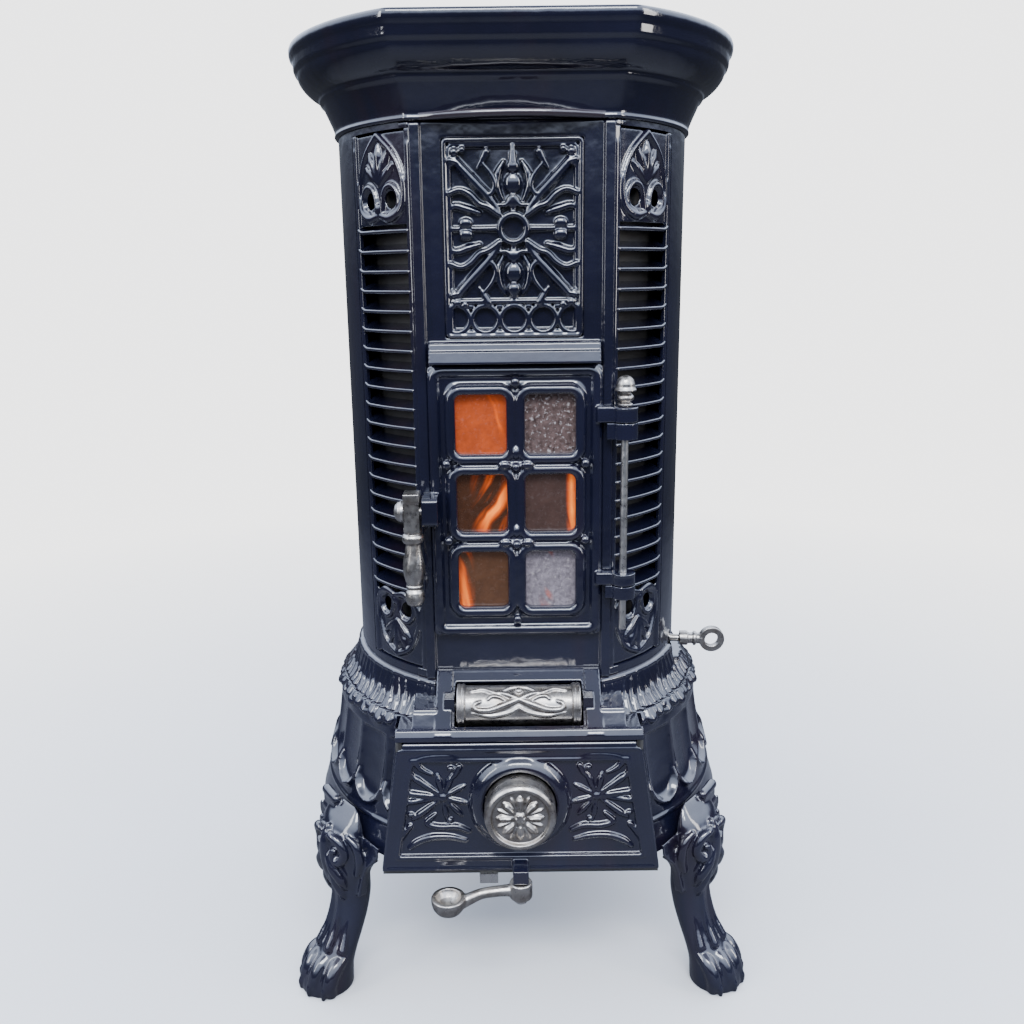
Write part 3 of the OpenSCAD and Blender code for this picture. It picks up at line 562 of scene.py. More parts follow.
def ornament_panel():
    s = Casting()
    s.plate(round_rect(0, PANEL_MID_Z, 123, 170, 3), 140.5, 142)
    # double bead all round
    for w, h, out, r in ((120, 167.5, 146.4, 2.2), (111.6, 159, 145.0, 1.9)):
        for depth in (0, 2.5):
            s.tube(round_rect(0, PANEL_MID_Z, w, h, 3), r, out - depth, looped=True, count=420)
    for up in (0.97, -0.97):
        s.strokes(ARM, lambda x, z: (x, ROSETTE_Z + up * z))
        for x, out, z, radii in ARM_BALLS:
            for sx in (1, -1):
                s.ball((sx * x, out, ROSETTE_Z + up * z), radii)
    # upright spear: a stem with buds, a tip and a pair of leaves
    for up, tip in ((1, 72), (-1, 62)):
        s.tube([(0, ROSETTE_Z + up * 16), (0, ROSETTE_Z + up * 62)], 3, 144.5)
        for out, z, radii in ((145, 23, (6.5, 4, 6)), (144.5, 38, (7.5, 4.5, 9)),
                              (146, 52, (6, 4.5, 5.5))):
            s.ball((0, out, ROSETTE_Z + up * z), radii)
        s.tube([(0, ROSETTE_Z + up * 55), (0, ROSETTE_Z + up * tip)], (4.2, 1.6), 146)
        s.strokes([(((0, 26), (6, 20), (13, 20)), (3, 2.2, 1.8), 146)],
                  lambda x, z: (x, ROSETTE_Z + up * z))
    s.strokes([(((12, ROSETTE_Z), (57, ROSETTE_Z)), (2.4, 2, 2.4), 144.5)])
    s.tube(ring(0, ROSETTE_Z, 12), 2.8, 146, looped=True, count=80)
    # bar and row of rings, cut short where they meet the bead
    pitch, bead_x = 26, 57
    s.tube([(-54, 697), (54, 697)], 2.6, 145.6)
    for i in range(-2, 3):
        s.tube([(max(-bead_x, min(bead_x, x)), z) for x, z in ring(pitch * i, 681.5, 12)],
               2.3, 145.8, looped=True, count=80)
    for i in (-1.5, -0.5, 0.5, 1.5):
        s.ball((pitch * i, 145, 669.5), (10, 3.2, 2.4))
        s.ball((pitch * i, 144.5, 692.5), (4, 3, 2.6))
    cast("ornament_grille", s, voxel=0.75, smooth=3, keep=0.45)


# ---- fire door

DOOR_Z = (382, 641)
WINDOW_Z = 513           # height of the middle windows
PANE = (46, 54)
PITCH = (63.5, 74)
PIN = (100, 158)         # the hinge pin's x and distance from the axis
PIN_HOLE_R = 3.8


def fire_door():
    s, cuts = Casting(), Casting()
    mid = sum(DOOR_Z) / 2
    s.plate(round_rect(0, mid, 160, 259, 5), 149, 153.5)
    s.tube(round_rect(0, mid, 149, 248, 7, 4), 5.4, 152.6, flat=0.85, looped=True, count=420)
    s.plate(round_rect(0, WINDOW_Z, 129, 224, 12), 149, 154.6)
    for row in (-1, 0, 1):
        for col in (-0.5, 0.5):
            x, z = col * PITCH[0], WINDOW_Z + row * PITCH[1]
            s.tube(round_rect(x, z, PANE[0] + 9.4, PANE[1] + 9.8, 10, 6), 5.0, 156.4,
                   looped=True, count=150)
            cuts.plate(round_rect(x, z, PANE[0], PANE[1], 6), 150.5, 170)
            cuts.plate(round_rect(x, z, PANE[0] + 6.4, PANE[1] + 6.4, 6), 145, 151.6)
    # beads beside the windows, and a flower where the bars cross
    for x, z, r in ((0, 626, 4.6), (-64, 551, 4.3), (64, 551, 4.3), (-64, 478, 4.3), (64, 478, 4.3),
                    (0, 400, 4.3)):
        s.ball((x, 159.4, z), (r, r, r + 0.4))
    for z in (550, 476):
        s.ball((0, 155, z), (11, 5, 9))
        s.ball((0, 159.5, z + 11), (3.6, 3.6, 6))
        s.ball((0, 160.4, z - 2), (4.2, 3.8, 4.2))
        for sx in (1, -1):
            s.ball((sx * 10.5, 160, z), (6, 3.6, 4))
    # lugs on the hinge pin, with a rolled upper edge
    for z0, z1 in ((433.9, 446), (588.4, 603)):
        s.box((74, 153, z0), (PIN[0], 163, z1))
        s.lathe([(0, z0), (11.6, z0), (11.6, z1 - 2.5), (12.2, z1 - 1.8), (12.2, z1 - 0.4),
                 (0, z1)], (*PIN, 0))
    cuts.lathe([(PIN_HOLE_R, 420), (PIN_HOLE_R, 620)], (*PIN, 0))
    # chamfered lug for the latch handle
    left, right, back = -87, -72, 151
    s.rings([[(left, back, z), (left, tip, z), (right, tip, z), (right, back, z)]
             for z, tip in ((496, 176), (499, 179), (520, 179), (523, 176))])
    cast("door_frame", s, voxel=0.85, smooth=4, keep=0.45, cuts=cuts)


# ---- side grilles

DRUM_R = 172
GRILLE_HALF = 14         # half of a grille's width, in degrees
GRILLE_Z = (344, 845)
FIN_Z0, FIN_PITCH, FIN_COUNT = 420, 17.75, 20


def side_grille(name, azimuth):
    sign = 1 if azimuth > 0 else -1
    s, cuts = Casting(wrapped(azimuth, DRUM_R)), Casting(wrapped(azimuth, DRUM_R))
    half, post = math.radians(GRILLE_HALF) * DRUM_R, 7.4
    low, high = GRILLE_Z
    for x0, x1 in ((-half, -half + post), (half - post, half)):
        for z0 in np.arange(low, high, 20):
            s.box((x0, -4.9, z0), (x1, -0.2, min(z0 + 20.5, high)))
    for x in (-half + post / 2, half - post / 2):
        s.tube([(x, z) for z in np.arange(low + 2, high, 18)], 2.6, -1.2, flat=0.6, count=240)
    inner = half - 6.5
    # thin backing plates that carry the ornaments at both ends
    for z0, z1, eye, tip in ((765, 844, 786, 1), (345, 412.5, 401, -1)):
        for x in np.arange(-inner, inner, 8):
            s.box((x, -4.6, z0), (min(x + 8.3, inner), -2.6, z1))
        far = 56 if tip > 0 else 50

        def at(x, z):
            return (1.26 * x, eye + tip * z)

        s.strokes([(((2, -13), (12, -15), (22, -8), (25, 6), (23, 22), (15, 40), (0, far)),
                    (3.0, 4.2, 3.2, 2.6, 2.6, 2.6, 3), -1.8),
                   (((3, -10), (4, 2), (8, 11), (15, 12), (20, 4), (19, -6), (12, -11)),
                    (2.2, 2.2, 2.4, 2.6, 2.4, 2.2, 2.2), -1.4)], at)
        s.ball((0, -1.2, eye - tip * 7), (3.8, 2.8, 4.4))
        for lean, reach, r in ((0, 34, 4.4), (24, 30, 3.8), (48, 25, 3.2)):
            for sx in (1, -1) if lean else (1,):
                a = math.radians(lean)
                tips = [at(sx * math.sin(a) * q * reach * 0.8, 13 + math.cos(a) * q * reach)
                        for q in (0.05, 0.4, 0.75, 1)]
                s.tube(tips, (1.4, r * 0.8, r, r * 0.5), -1.8, flat=0.8)
                s.tube(tips[1:], (0.9, 1, 0.6), -1.0)
        for sx in (1, -1):
            cuts.lathe([(0.1, -12), (7.2, -11.9), (7.2, 8), (0.1, 8.1)],
                       (sx * 14.8, 0, eye + tip * 0.5), axis="out", steps=40)
    body = s.object(name)
    carve(body, cuts, 0.85)
    skin(body, 0.85)
    settle(body, 4, 0.4)
    freeze(body)
    # the fins: a rolled front edge, which kicks up at its outer end, and a rising blade
    fins = Casting(wrapped(azimuth, DRUM_R))
    section = [(-0.4, 0.6), (0.5, 1.3), (0.7, 2.4), (0.2, 3.4), (-0.8, 3.9), (-2, 3.8), (-14.5, 9.4),
               (-14.5, 7.6), (-3.5, 0.6), (-1.9, 0.1), (-1.1, 0.1)]
    columns = np.linspace(-inner - 1.5, inner + 1.5, 26)
    for i in range(FIN_COUNT):
        z = FIN_Z0 + i * FIN_PITCH
        kick = [2.2 * max(0, (sign * x - inner + 6) / 7) ** 2 for x in columns]
        fins.rings([[(x, out, z + up + k) for out, up in section] for x, k in zip(columns, kick)])
    blades = fins.object(name + "_fins")
    mod = blades.modifiers.new("round", "BEVEL")
    mod.width, mod.segments, mod.limit_method = 0.5 * MM, 2, "ANGLE"
    freeze(blades)
    join(body, blades)
    finish_piece(body, name)


def join(body, other):
    """Moves the mesh of another object into a piece."""
    bm = bmesh.new()
    for obj in (body, other):
        bm.from_mesh(obj.data)
    bm.to_mesh(body.data)
    bm.free()
    body.data.shade_smooth()
    bpy.data.objects.remove(other)


ornament_panel()
fire_door()
side_grille("side_grille_right", 45)
side_grille("side_grille_left", -45)


# ---- top

FLAT_INSET = 26      # how far the flat front sits inside the round outline
CORNER_EASE = 1.6    # how softly the round outline turns into the flat front


def fronted(s, profile, steps=540):
    """Sweeps closed (radius, z, flat) points round the axis; flat is where the front is cut off."""
    rings = []
    for a in circle(int(steps / COARSE)):
        c = max(math.cos(a), 0.05)
        ring = []
        for r, z, flat in profile:
            over, ease = r - flat / c, CORNER_EASE
            r -= max(0, over) if abs(over) > ease else (over + ease) ** 2 / (4 * ease)
            ring.append((r * math.sin(a), r * math.cos(a), z))
        rings.append(ring)
    s.rings(rings, looped=True)


def top():
    # cornice: a foot bead, a deep cove, an ovolo and an upright rim
    outline = curve([(174, 850.2), (175.5, 852), (175, 856), (178, 864), (182, 873),
                     (185.2, 880)], 22).tolist()
    outline += [(187.5, 881.6), (188.6, 883.6), (188.4, 885.6)]
    outline += curve([(190, 887), (196, 890), (202, 895), (206.5, 901), (208.6, 907)], 16).tolist()
    outline += [(210.4, 908.4), (211.4, 911), (211.6, 916), (212.8, 919), (214.4, 921.4), (215, 924),
                (215, 927), (214.2, 929.2), (212.4, 930), (209.6, 930), (208.7, 929.4), (208.5, 928.6),
                (208.5, 922), (200, 922), (199, 905), (180, 884), (168, 852), (170, 850.2)]
    s = Casting()
    fronted(s, [(r, z, r - FLAT_INSET) for r, z in outline])
    s.lathe([(156, 850.2), (169.5, 850.2), (169.5, 856), (156, 856)], (0, 0, 0), looped=True)
    plain(s, "cornice")
    # plate, ring and lid: ground flat, with broken edges and turned grooves
    s = Casting()
    fronted(s, [(r, z, 182) for r, z in ((207.9, 922.4), (207.9, 929), (207.2, 930), (105.8, 930),
                                         (105, 929.2), (105, 926), (100, 926), (100, 922.4))])
    plain(s, "top_plate", sharp=True)
    s = Casting()
    s.lathe([(64, 922.4), (64, 926), (69, 926), (69, 929.2), (69.7, 930), (84, 930), (84.8, 929.4),
             (85.6, 930), (103.8, 930), (104.5, 929.2), (104.5, 926), (99.5, 926), (99.5, 922.4)],
            (0, 0, 0), looped=True, steps=160)
    plain(s, "lid_ring", sharp=True)
    s = Casting()
    s.lathe([(0, 922.4), (63.4, 922.4), (63.4, 926.4), (68.4, 926.4), (68.4, 929.2), (67.7, 930),
             (52, 930), (51.3, 929.3), (50.6, 930), (0, 930)], (0, 0, 0), steps=160)
    # lifter slot, drawn flat and laid down behind the lid's middle
    cuts = Casting(lambda p: np.column_stack([p[:, 0], 40 + p[:, 2], p[:, 1]]))
    cuts.plate(round_rect(0, 0, 8, 26, 3), 925.6, 935)
    cast("cooking_lid", s, voxel=0.9, smooth=1, keep=0.3, cuts=cuts)


def plain(s, name, sharp=False):
    """Makes a piece straight from its shapes, without a skin over them."""
    obj = s.object(name)
    freeze(obj)
    if sharp:
        obj.data.set_sharp_from_angle(angle=math.radians(35))
    finish_piece(obj, name)


# ---- base

BASE_LOW, BASE_HIGH = 158, 336
BASE_WALL = 7
BASE_OUTLINE = [(222, BASE_LOW), (221, 168), (215, 188), (209, 212), (204.5, 234), (201, 254),
                (198.5, 272), (196.6, 283), (193, 291), (187.5, 299), (182, 308), (178, 318),
                (175.5, 328), (173.6, BASE_HIGH)]
LEAF_PITCH = 17.0        # degrees from leaf to leaf
FLUTE_PITCH = 12.75


def ridge(u, v, a, b, r0, r1, high):
    """Height of a round-backed stroke from a to b over the places u, v."""
    ab = np.array(b, float) - a
    t = np.clip(((u - a[0]) * ab[0] + (v - a[1]) * ab[1]) / (ab @ ab), 0, 1)
    d = np.hypot(u - a[0] - t * ab[0], v - a[1] - t * ab[1])
    r = r0 + (r1 - r0) * t
    return high * np.sqrt(np.clip(1 - (d / r) ** 2, 0, 1)) * np.clip(r / max(r0, r1), 0.4, 1)


def base_relief(az, z, radius):
    """Leaves above, flutes with tongue-shaped lips below."""
    u = (np.mod(az, LEAF_PITCH) - LEAF_PITCH / 2) * math.pi / 180 * radius
    v = z - 300.0
    h = np.zeros_like(u)
    w = LEAF_PITCH / 2 * math.pi / 180 * 190
    strokes = [((0, 33), (0, 10), 1.5, 3.5, 1.4), ((0, 9), (0, -8), 4.0, 8.0, 6.2),
               ((3, 7), (6, -4), 2.5, 4.5, 6.6)]
    for s in (1, -1):
        strokes += [((s * 8, 30), (s * 12, 10), 1.5, 3.0, 1.0),
                    ((s * 11, 9), (s * 14, -6), 3.4, 6.8, 5.6),
                    ((s * 17, 32), (s * 21, 12), 1.5, 3.0, 1.0),
                    ((s * 20, 13), (s * 23.6, -2), 3.0, 6.0, 4.8),
                    ((s * w, 22), (s * w, 2), 1.4, 3.6, 1.6),
                    ((s * w, 2), (s * w, -11), 3.4, 5.6, 5.4)]
    for a, b, r0, r1, high in strokes:
        h = np.maximum(h, ridge(u, v, a, b, r0, r1, high))
    # the leaf ring rolls under to the flutes along a scalloped edge
    scallop = -15.5 - 3.5 * np.cos(2 * math.pi * u / (2 * w))
    h = h / (1 + np.exp(-(v - scallop + 1) / 0.8))
    h = h + 1.6 / (1 + np.exp(-(v - scallop) / 1.5)) / (1 + np.exp((v - 33) / 1.5))
    # flutes
    fu = (np.mod(az, FLUTE_PITCH) - FLUTE_PITCH / 2) * math.pi / 180 * radius
    half = FLUTE_PITCH / 2 * math.pi / 180 * radius - 2.6
    low = 203.0
    below = z < low + half
    d = np.where(below, np.hypot(fu, z - low - half), np.abs(fu))
    inside = np.clip(1 - d / half, 0, 1)
    groove = -4.6 * np.sqrt(np.clip(1 - (1 - inside) ** 2, 0, 1))
    groove = np.where(z < 276, groove, 0) * np.clip((276 - z) / 3, 0, 1)
    lip = 4.2 * np.exp(-((d - half - 0.6) / 2.9) ** 2) * np.clip((low + half + 6 - z) / 10, 0, 1)
    lip = np.where(z < low + half + 6, lip, 0)
    # foot moulding: a bead over the plain band, and one on the lower edge
    foot = 1.6 * np.exp(-((z - 190) / 2.0) ** 2) + 1.4 * np.exp(-((z - 160.5) / 2.2) ** 2)
    head = 1.5 * np.exp(-((z - 333.5) / 1.8) ** 2)
    return h + groove + lip + foot + head


def base():
    z = np.linspace(BASE_LOW, BASE_HIGH, int(190 / COARSE))
    smooth = curve(BASE_OUTLINE, 120)
    order = np.argsort(smooth[:, 1])
    radius = np.interp(z, smooth[order, 1], smooth[order, 0])
    # the hearth's housing fills the front: its half width gives the azimuths where the wall starts
    hearth = np.where(z < 300, np.interp(z, (BASE_LOW, 300), (135.2, 116.2)), 80.3)
    start = np.degrees(np.arcsin(hearth / radius))
    steps = int(1020 / COARSE)
    inner_z = np.linspace(BASE_HIGH, BASE_LOW, 12)
    inner_r = np.interp(inner_z, z, radius) - BASE_WALL
    inner_r[0] = 158
    inner_start = np.interp(inner_z, z, start)
    rings = []
    for t in np.linspace(0, 1, steps):
        az = start + t * (360 - 2 * start)
        r = radius + base_relief(az, z, radius)
        a = np.radians(az)
        outer = np.column_stack([r * np.sin(a), r * np.cos(a), z])
        a = np.radians(inner_start + t * (360 - 2 * inner_start))
        inner = np.column_stack([inner_r * np.sin(a), inner_r * np.cos(a), inner_z])
        rings.append(np.vstack([outer, inner]))
    s, cuts = Casting(), Casting()
    s.rings(rings)
    # slot for the shaker lever
    slot = np.radians(np.linspace(68.5, 98.5, 9))
    cuts.rings([[(r * math.sin(a), r * math.cos(a), h) for r, h in
                 ((149, 313), (215, 313), (215, 340), (149, 340))] for a in slot])
    obj = s.object("base_shell")
    carve(obj, cuts)
    settle(obj, 2, 0.45)
    freeze(obj)
    obj.data.set_sharp_from_angle(angle=math.radians(60))
    finish_piece(obj, "base_shell")


def hood():
    """The CAD hood with bands down its slope, beads above and below, and shoulders beside it."""
    s = Casting()
    s.node("hearth_hood")
    slope_top, slope_foot = np.array([150, 344.0]), np.array([205, 300.6])
    proud = np.array([0.618, 0.786])        # straight out of the slope
    for s0, s1 in ((64, 79), (-79, -64)):
        s.beam([slope_top - 3 * proud, slope_top + 2.2 * proud,
                slope_foot + 2.2 * proud, slope_foot - 3 * proud], s0, s1)
    s.beam([(147, 338), (147, 345.2), (149, 345.4), (151, 343.6), (152, 338)], -80, 80)
    # this bar stays clear of the hearth drum behind it and of the ash door's edge below it
    s.beam([(192, 298.5), (205.6, 298.5), (206.6, 300), (203.4, 306.4), (198.4, 306.8)],
           -116.5, 116.5)
    for s0, s1 in ((78, 101), (-101, -78)):
        s.beam([(150, 298), (202, 298), (202, 303.6), (187, 318), (150, 321)], s0, s1)
        s.beam([(160, 317), (186, 316.6), (188, 318.4), (186, 320.4), (160, 322.6)], s0, s1)
    cast("hearth_hood", s, voxel=1.0, smooth=3, keep=0.3)


def ray(angle, reach, places, z=0):
    """Points on a straight line from the middle, at parts of its reach."""
    t = math.radians(angle)
    return [(q * reach * math.cos(t), z + q * reach * math.sin(t)) for q in places]


# angle, reach and radius of the rays of the ash door's palmettes, and the leaves round them
RAYS = ((8, 39, 3.2), (38, 40, 3.4), (78, 24, 2.8), (112, 26, 2.6), (150, 24, 2.6),
        (196, 24, 2.6), (228, 26, 2.6), (262, 24, 2.8), (322, 38, 3.4), (352, 40, 3.0))
HOOKS = [
    (((-18, 41), (-4, 43), (14, 42), (24, 38), (20, 30), (10, 24)), (2, 3, 3, 3.2, 2.6, 1.4), 204.2),
    (((-16, 32), (-12, 24), (-4, 16)), (2.8, 2.6, 1.2), 203.6),
    (((-21, -46), (-6, -42), (12, -42), (26, -47), (34, -54)), (1.6, 2.6, 3, 3, 1.8), 204),
    (((-24, -36), (-12, -31), (4, -31), (16, -27), (8, -18)), (2, 3, 3, 2.8, 1.6), 204.2),
    (((32, -30), (38, -38), (44, -50)), (2.6, 2.6, 1.4), 203.6)]
DOTS = ((0, 204.1, 0, (4.4, 3.2, 4.4)), (-8, 204.2, 30, (3.2, 2.6, 2.6)),
        (-6, 204.2, -24, (3.2, 2.6, 2.6)), (30, 204.2, 24, (3.2, 2.6, 2.6)),
        (31, 204.2, -18, (3.2, 2.6, 2.6)))


def palmettes(s):
    """The ash door's relief: on each side a palmette between four hooked leaves."""
    def at(x, z):
        return (73 + x, 238 + z)
    s.strokes([(ray(angle, reach, (0.08, 0.4, 0.75, 1)), (1.2, r * 0.8, r, 1.2), 203.6, 1.1)
               for angle, reach, r in RAYS] + HOOKS, at)
    for x, out, z, radii in DOTS:
        x, z = at(x, z)
        for sx in (1, -1):
            s.ball((sx * x, out, z), radii)


KNOB_Z = 232
LATCH_OUT = 220      # distance from the axis to the ash latch's pin
LATCH_HOLE_R = 3.15


def ash_door():
    s = Casting()
    s.node("ash_door")
    palmettes(s)
    border = [(-119, 174.5), (119, 174.5), (102, 277), (-102, 277)]
    s.tube(border, 2.4, 205, looped=True, count=420)
    edge = [(-131.5, 162.4), (131.5, 162.4), (112.8, 287), (-112.8, 287)]
    s.tube(edge, 2.3, 204.8, looped=True, count=460)
    # collar round the knob
    s.lathe([(50, 202.6), (47.5, 206.6), (44, 210.6), (40.4, 213), (37, 213.4), (35.5, 212),
             (35.5, 202.6)], (0, 0, KNOB_Z), axis="out", looped=True)
    cuts = Casting()
    cuts.lathe([(LATCH_HOLE_R, 150), (LATCH_HOLE_R, 171)], (0, LATCH_OUT, 0))
    cast("ash_door", s, voxel=0.85, smooth=3, keep=0.4, cuts=cuts)


def knob():
    """A drum-shaped knob with turned grooves round it and a flower on its face."""
    s = Casting()
    side = [(0, 210), (32.4, 210), (33.5, 211)]
    for groove in (221, 223.6, 226.2):
        side += [(33.5, groove), (32.9, groove + 0.7), (33.5, groove + 1.4)]
    s.lathe(side + [(33.5, 230), (32.6, 233.6), (30.2, 235.8), (27.6, 235.4), (26.6, 233),
                    (26, 231.8), (0, 231.8)], (0, 0, KNOB_Z), axis="out", steps=120)
    for i in range(8):
        for turn, reach, r, out in ((0, 20.5, 4.0, 232.0), (22.5, 23.5, 2.4, 231.4)):
            s.tube(ray(45 * i + turn, reach, (0.25, 0.55, 0.85, 1), KNOB_Z),
                   (1.6, r * 0.9, r, r * 0.5), out, flat=0.75)
            s.tube(ray(45 * i + turn, reach, (0.45, 0.7, 0.9), KNOB_Z), (0.6, 0.8, 0.6),
                   out + r * 0.75)
    s.ball((0, 232.2, KNOB_Z), (6.4, 3.4, 6.4))
    for i in range(6):
        (x, z), = ray(60 * i, 3.4, (1,), KNOB_Z)
        s.ball((x, 234.6, z), 1.5, 10)
    cuts = Casting()
    cuts.lathe([(5.2, 200), (5.2, 228)], (0, 0, KNOB_Z), axis="out")
    cast("regulator_knob", s, voxel=0.55, smooth=2, keep=0.4, cuts=cuts)


HEARTH_AXIS = (0, 176, 319)
HEARTH_R = 19
SCROLLS = [
    (((-36, -1), (-41, -3), (-42, -7), (-37, -9), (-27, -9), (-15, -5), (0, 1), (12, 6), (22, 8)),
     (1, 1.5, 1.9, 2.2, 2.6, 2.8, 2.6, 2.2, 1.2), 0.2),
    (((-44, -12), (-26, -15), (-10, -12), (0, -7)), (1, 2, 2, 1.4), -0.2),
    (((-29, 1), (-25, 4), (-18, 3), (-11, -1)), (1.2, 1.8, 1.6, 1.2), 0),
    (((-44, 10), (-34, 12), (-26, 9), (-18, 6)), (1.4, 2.2, 2, 1.2), 0),
    (((-14, 11), (-8, 14.5), (0, 16)), (1, 1.6, 1.8), 0)]


def hearth_drum():
    def on_drum(p):
        """Wraps z round the drum, from the line that faces up and forward at rest."""
        a = math.radians(38) + p[:, 2] / HEARTH_R
        r = HEARTH_R + p[:, 1]
        return np.column_stack([p[:, 0], -HEARTH_AXIS[1] - r * np.cos(a),
                                HEARTH_AXIS[2] + r * np.sin(a)])
    s = Casting()
    s.lathe([(19, -57), (19.2, -52), (19, -50), (19, 50), (19.2, 52), (19, 57)], HEARTH_AXIS,
            axis="x")
    for x in (-55, 55):
        s.lathe([(19, x - 4), (20.6, x - 3.6), (21, x - 2), (20.2, x), (21, x + 2),
                 (20.6, x + 3.6), (19, x + 4)], HEARTH_AXIS, axis="x")
    s.place = on_drum
    s.strokes(SCROLLS)
    s.ball((0, 0.6, 10), (3.4, 2.2, 3))
    cuts = Casting()
    cuts.lathe([(4.15, -62), (4.15, 62)], HEARTH_AXIS, axis="x")
    cast("hearth_drum", s, voxel=0.6, smooth=2, keep=0.4, cuts=cuts)


# ---- legs

LEG_PAD_R = 224
# distance from the axis, height, half width and half depth down the leg
LEG_STATIONS = [(223, 198, 20, 4), (226, 190, 26, 9), (229, 180, 31, 15), (231, 166, 33, 19),
                (230, 150, 33, 20), (228, 134, 31, 20), (226, 116, 27, 19), (225, 98, 24, 18.5),
                (228, 78, 22, 18), (235, 58, 22, 18), (245, 40, 24, 20), (254, 24, 26, 24),
                (258, 10, 27, 27), (258, -4, 26, 26.5)]
LEG_STROKES = [
    # a C-scroll at the knee and leaves below it
    (((4, 250, 171), (13, 251, 174), (22, 247, 168), (25, 244, 156), (20, 247, 146),
      (13, 250, 147), (12, 251, 155), (16, 250, 158)), (3, 4.6, 5.2, 5.2, 4.8, 4, 3.4, 2.8)),
    (((5, 252, 150), (12, 251, 138), (18, 246, 124), (17, 241, 112)), (4, 6, 5.4, 2.4)),
    (((3, 250, 134), (9, 247, 118), (12, 242, 104), (9, 239, 94)), (3.6, 5.2, 4.6, 2)),
    (((27, 240, 174), (34, 235, 165), (36, 233, 150), (31, 234, 132)), (3, 5, 5.2, 3.4)),
    # sinews down to the paw
    (((6, 241.5, 104), (6.5, 244, 84), (7.5, 250, 64), (9, 260, 46)), (2.4, 3.4, 4, 5)),
    (((16, 230, 104), (15, 234, 84), (16, 242, 62), (20, 250, 44)), (2, 3.2, 4, 5))]
# toes with claws
for x0, x1, far in ((6.5, 7.6, 276.5), (17.5, 21.5, 268)):
    LEG_STROKES += [
        (((x0, far - 22, 37), (x1, far - 8, 29), (x1 * 1.06, far, 15), (x1 * 1.06, far - 1, 4)),
         (7, 8.6, 8.4, 6.4)),
        (((x1 * 1.05, far + 4, 19), (x1 * 1.1, far + 8, 10), (x1 * 1.1, far + 8.2, 2)),
         (1.6, 3, 2.2))]
# each leg's azimuth, and the side of it that the boss stands on
LEGS = {"leg_front_left": (-52, -1), "leg_front_right": (52, 1),
        "leg_rear_left": (-128, 1), "leg_rear_right": (128, -1)}


def leg(name, azimuth, boss):
    s, cuts = Casting(), Casting()
    s.rings([[(half * math.cos(a), out + deep * math.sin(a), z) for a in circle(48)]
             for out, z, half, deep in curve(LEG_STATIONS, 90)])
    # brackets that hug the base, and a flat-topped boss beside its corner
    s.place = wrapped(0, LEG_PAD_R)
    wing = [(59, 172)] + curve([(58, 161), (51, 152), (42, 143), (35, 128), (28, 104)], 14).tolist()
    s.plate(wing + [(-x, z) for x, z in wing[::-1]], 0.6, 10)
    s.box((min(boss * 8, boss * 36), 0.6, 172), (max(boss * 8, boss * 36), 11, 198))
    s.tube([(boss * 10, 198), (boss * 34, 198)], 5.5, 7.4)
    s.tube([(boss * 8, 180), (boss * 36, 180)], 6, 7)
    s.place = front
    s.tube([(0, 247, 178), (0, 251, 162), (0, 250, 142), (0, 246, 120), (0, 240, 102)],
           (4, 6.5, 7.5, 6, 2))
    s.strokes(LEG_STROKES)
    # room for the base's pad and lower edge, and a flat sole
    for low, high in (((-60, 150, 152.4), (60, LEG_PAD_R + 0.2, 215)),
                      ((-60, 150, 139), (60, 218, 160)), ((-90, 150, -30), (90, 330, 0))):
        cuts.box(low, high)
    obj = cast(name, s, voxel=1.0, smooth=2, keep=0.45, cuts=cuts)
    obj.data.transform(Matrix.Rotation(math.radians(azimuth), 4, "Z"))


# ---- fittings

def latch_handle():
    """A boss with its tongue, a necked and lobed grip, and a round end."""
    s, cuts = Casting(), Casting()
    x, y, grip_foot = -96, 171, 438
    s.box((x - 7, y - 9, 492), (x + 7, y + 9, 521))
    s.box((x - 7.4, y - 9.6, 519.5), (x + 7.4, y + 9.8, 527.6))
    s.box((x - 6, y - 23, 503), (x + 6, y - 8, 511))
    s.lathe([(0, 418), (4, 418.6), (7.4, 421), (9, 425), (9.2, 429), (8.6, 433), (6.4, 436),
             (6.2, 437.6)], (x, y, 0))
    s.lathe([(6, 436.4), (8, 437.4), (8.2, 439), (6.6, 440.2)], (x, y, 0))
    s.lathe([(6.4, 479.6), (9.4, 481), (10.2, 483.4), (10.2, 486.4), (9, 488.4), (7.4, 489.6),
             (8.6, 491), (8.6, 494)], (x, y, 0))
    swell = [(6, grip_foot), (8.8, 444), (10.2, 452), (9.8, 461), (8, 471), (6.6, 481)]
    turn = circle(60)
    rings = []
    for r, z in curve(swell, 60):
        lobes = r * (0.93 + 0.09 * np.abs(np.cos(2.5 * turn + (z - grip_foot) * 0.07)))
        rings.append(np.column_stack([x + lobes * np.cos(turn), y + lobes * np.sin(turn),
                                      np.full(len(turn), z)]))
    s.rings(rings)
    cuts.lathe([(4.2, x - 12), (4.2, x + 12)], (0, y, 510), axis="x")
    cast("latch_handle", s, voxel=0.5, smooth=2, keep=0.4, cuts=cuts)


def finial():
    """The acorn on the hinge pin."""
    s = Casting()
    profile = curve([(6.4, 0), (7, 1.4), (5, 3), (6, 4.2), (7.7, 6), (7.4, 8.6), (5.2, 11),
                     (5.4, 12.4), (9.4, 13.2), (10, 14.4), (9.2, 15.8), (8.6, 17.4), (8.4, 20),
                     (7, 23.6), (4.4, 26.2), (0.2, 27.5)], 80)
    s.lathe([(0, 0)] + profile.tolist(), (*PIN, 603.5), steps=64)
    plain(s, "pin_finial")


